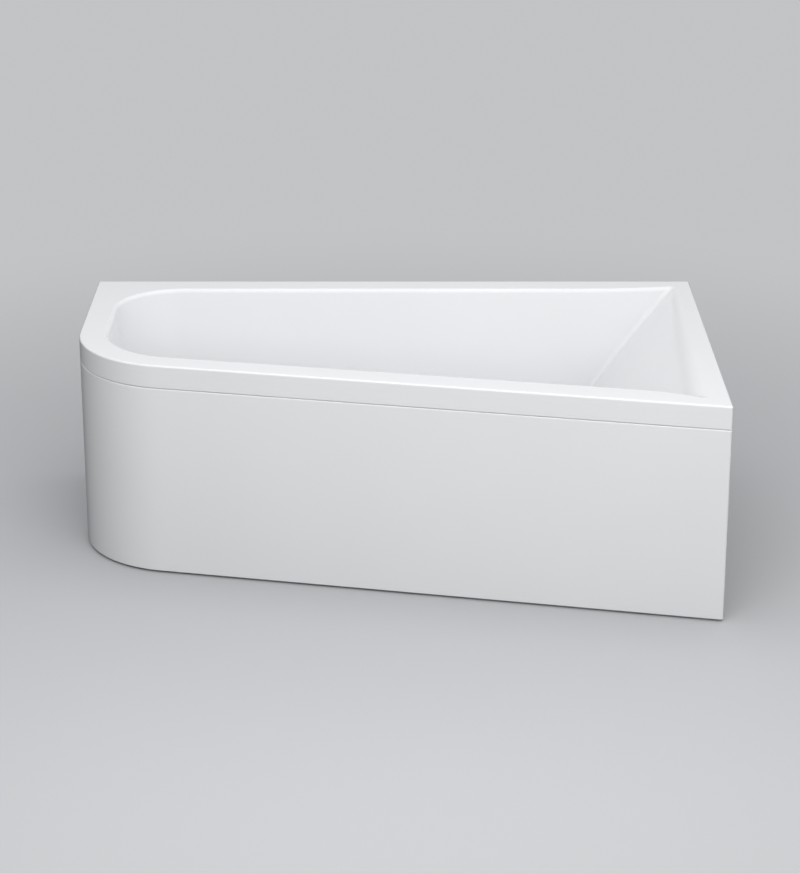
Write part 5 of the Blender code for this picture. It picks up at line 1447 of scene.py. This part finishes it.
# %% [markdown]
# ## The overflow's housing
#
# Behind the wall a grey housing catches the water, and a rubber washer seals it to the wall. It is a
# turned cup with its spigot pointing down. The spigot is joined on as a rod, and only then are the
# cup and the spigot hollowed, so that no wall is left between them.

# %% Build the housing
HOUSING_RADIUS = 0.0365
HOUSING_BORE = 0.0330
HOUSING_DEPTH = 0.034
HOUSING_BACK = 0.003
HOUSING_GASKET = 0.004
HOUSING_SPIGOT = 0.026
HOUSING_SOFT = 0.0015

washer_top = -SHELL_WALL - BACKING_WALL - 2 * GAP
washer_bottom = washer_top - HOUSING_GASKET
washer_form = ring_form(OVERFLOW_HOLE_RADIUS, HOUSING_RADIUS, washer_top, washer_bottom)
whole_piece("overflow_washer", washer_form, rubber, "overflow_gasket", overflow)
housing_top = washer_bottom - GAP
housing_bottom = housing_top - HOUSING_DEPTH
housing_back = housing_bottom + HOUSING_BACK
housing_section = stepped(HOUSING_BORE, housing_top, HOUSING_RADIUS, housing_bottom, spindle_bore)
housing_section += stepped(spindle_bore, housing_back, HOUSING_BORE)
housing_form = turned_form(housing_section, True, HOUSING_SOFT)
housing = piece_from("overflow_housing", housing_form, grey, ["overflow_body"], overflow)
housing_middle = (housing_top + housing_bottom) / 2
housing_reach = HOUSING_RADIUS + HOUSING_SPIGOT
spigot_place = overflow @ at(0, -housing_reach / 2, housing_middle) @ quarter("X")
drill(housing, "housing_spigot", SPIGOT_RADIUS, housing_reach, spigot_place, operation="UNION")
inside_depth = housing_top - housing_back + CUT_LENGTH
inside_place = overflow @ at(0, 0, housing_back + inside_depth / 2)
drill(housing, "housing_inside", HOUSING_BORE, inside_depth, inside_place)
bore_length = housing_reach + CUT_LENGTH
bore_place = overflow @ at(0, -bore_length / 2, housing_middle) @ quarter("X")
drill(housing, "housing_bore", SPIGOT_BORE, bore_length, bore_place)
settle(housing)
hose_top = overflow @ Vector((0, -housing_reach, housing_middle))
hose_heading = (overflow.to_3x3() @ Vector((0, -1, 0))).normalized()
print("hose starts at", [round(v, 4) for v in hose_top])

# %% [markdown]
# ## The hose and the cable
#
# A ribbed hose carries overflow water down to the waste, and a thin cable lifts the plug. Both follow
# a cubic curve that leaves each end straight along its spigot. The hose's ribs are a cosine of the
# radius along it, which rounds them on top and in the valleys, where a zigzag would look machined.

# %% Run the hose and the cable
HOSE_RADIUS = 0.0165
HOSE_ROOT_RADIUS = 0.0145
HOSE_RIBS = 32
HOSE_RINGS_PER_RIB = 6
HOSE_PULLS = (0.230, 0.150)
HOSE_NUT = (0.0195, 0.012)
HOSE_SIDES = 28
CABLE_RADIUS = 0.0025
CABLE_SIDE = 0.022
CABLE_POINTS = 60
CABLE_PULLS = (0.280, 0.210)
CABLE_DEPTH_SHARE = 0.8
CABLE_TURN = math.radians(42)
CABLE_SIDES = 12


def eased(start, start_heading, end, end_heading, pulls, count):
    """Points of a cubic curve that leaves each end along its own heading."""
    second = start + start_heading * pulls[0]
    third = end + end_heading * pulls[1]
    shares = [k / count for k in range(count + 1)]
    return [
        start * (1 - t) ** 3 + second * 3 * t * (1 - t) ** 2 + third * 3 * t**2 * (1 - t) + end * t**3
        for t in shares
    ]


def tube(points, radii, sides):
    """A tube along a path. Each ring's side is carried on from the one before, so none twists."""
    rings = []
    sideways = Vector((1, 0, 0))
    for k, (point, radius) in enumerate(zip(points, radii)):
        along = (points[min(k + 1, len(points) - 1)] - points[max(k - 1, 0)]).normalized()
        sideways = (sideways - along * sideways.dot(along)).normalized()
        other = along.cross(sideways)
        angles = [2 * math.pi * side / sides for side in range(sides)]
        spokes = [sideways * math.cos(angle) + other * math.sin(angle) for angle in angles]
        rings.append([point + spoke * radius for spoke in spokes])
    return capped_tube(rings)


forward = -rearward
hose_end = Vector((DRAIN.x, DRAIN.y - cup_reach, spigot_z))
hose_start = hose_top + hose_heading * GAP
hose_finish = hose_end + forward * GAP
cuff = 2 * HOSE_RADIUS
first_rib = hose_start + hose_heading * cuff
last_rib = hose_finish + forward * cuff
steps = HOSE_RIBS * HOSE_RINGS_PER_RIB
spine = eased(first_rib, hose_heading, last_rib, forward, HOSE_PULLS, steps)
swell = (HOSE_RADIUS - HOSE_ROOT_RADIUS) / 2
waves = [1 - math.cos(2 * math.pi * k / HOSE_RINGS_PER_RIB) for k in range(steps + 1)]
radii = [HOSE_ROOT_RADIUS + swell * wave for wave in [0] + waves + [0]]
hose_form = tube([hose_start] + spine + [hose_finish], radii, HOSE_SIDES)
whole_piece("ribbed_hose", hose_form, white, "overflow_hose", degrees=ROUND_DEGREES)
nut_back = HOSE_NUT[1] / 2 + GAP
upper_place = heading_place(hose_top - hose_heading * nut_back, hose_heading)
grip_ring("upper_union", "hose_nut_upper", SPIGOT_RADIUS + GAP, *HOSE_NUT, upper_place)
lower_place = heading_place(hose_end - forward * nut_back, rearward)
grip_ring("lower_union", "hose_nut_lower", SPIGOT_RADIUS + GAP, *HOSE_NUT, lower_place)

cable_depth = housing_top - HOUSING_DEPTH * CABLE_DEPTH_SHARE
cable_drop = math.sqrt(HOUSING_RADIUS**2 - CABLE_SIDE**2)
cable_start = overflow @ Vector((CABLE_SIDE, -cable_drop, cable_depth)) + hose_heading * CABLE_RADIUS
cable_heading = Vector((-math.sin(CABLE_TURN), -math.cos(CABLE_TURN), 0))
cable_end = Vector((DRAIN.x, DRAIN.y, spigot_z)) + cable_heading * (CUP_RADIUS + GAP)
cable_line = eased(cable_start, hose_heading, cable_end, cable_heading, CABLE_PULLS, CABLE_POINTS)
cable_form = tube(cable_line, [CABLE_RADIUS] * len(cable_line), CABLE_SIDES)
whole_piece("plug_cable", cable_form, black, "bowden_cable", degrees=ROUND_DEGREES)
print("hose rings:", len(radii))
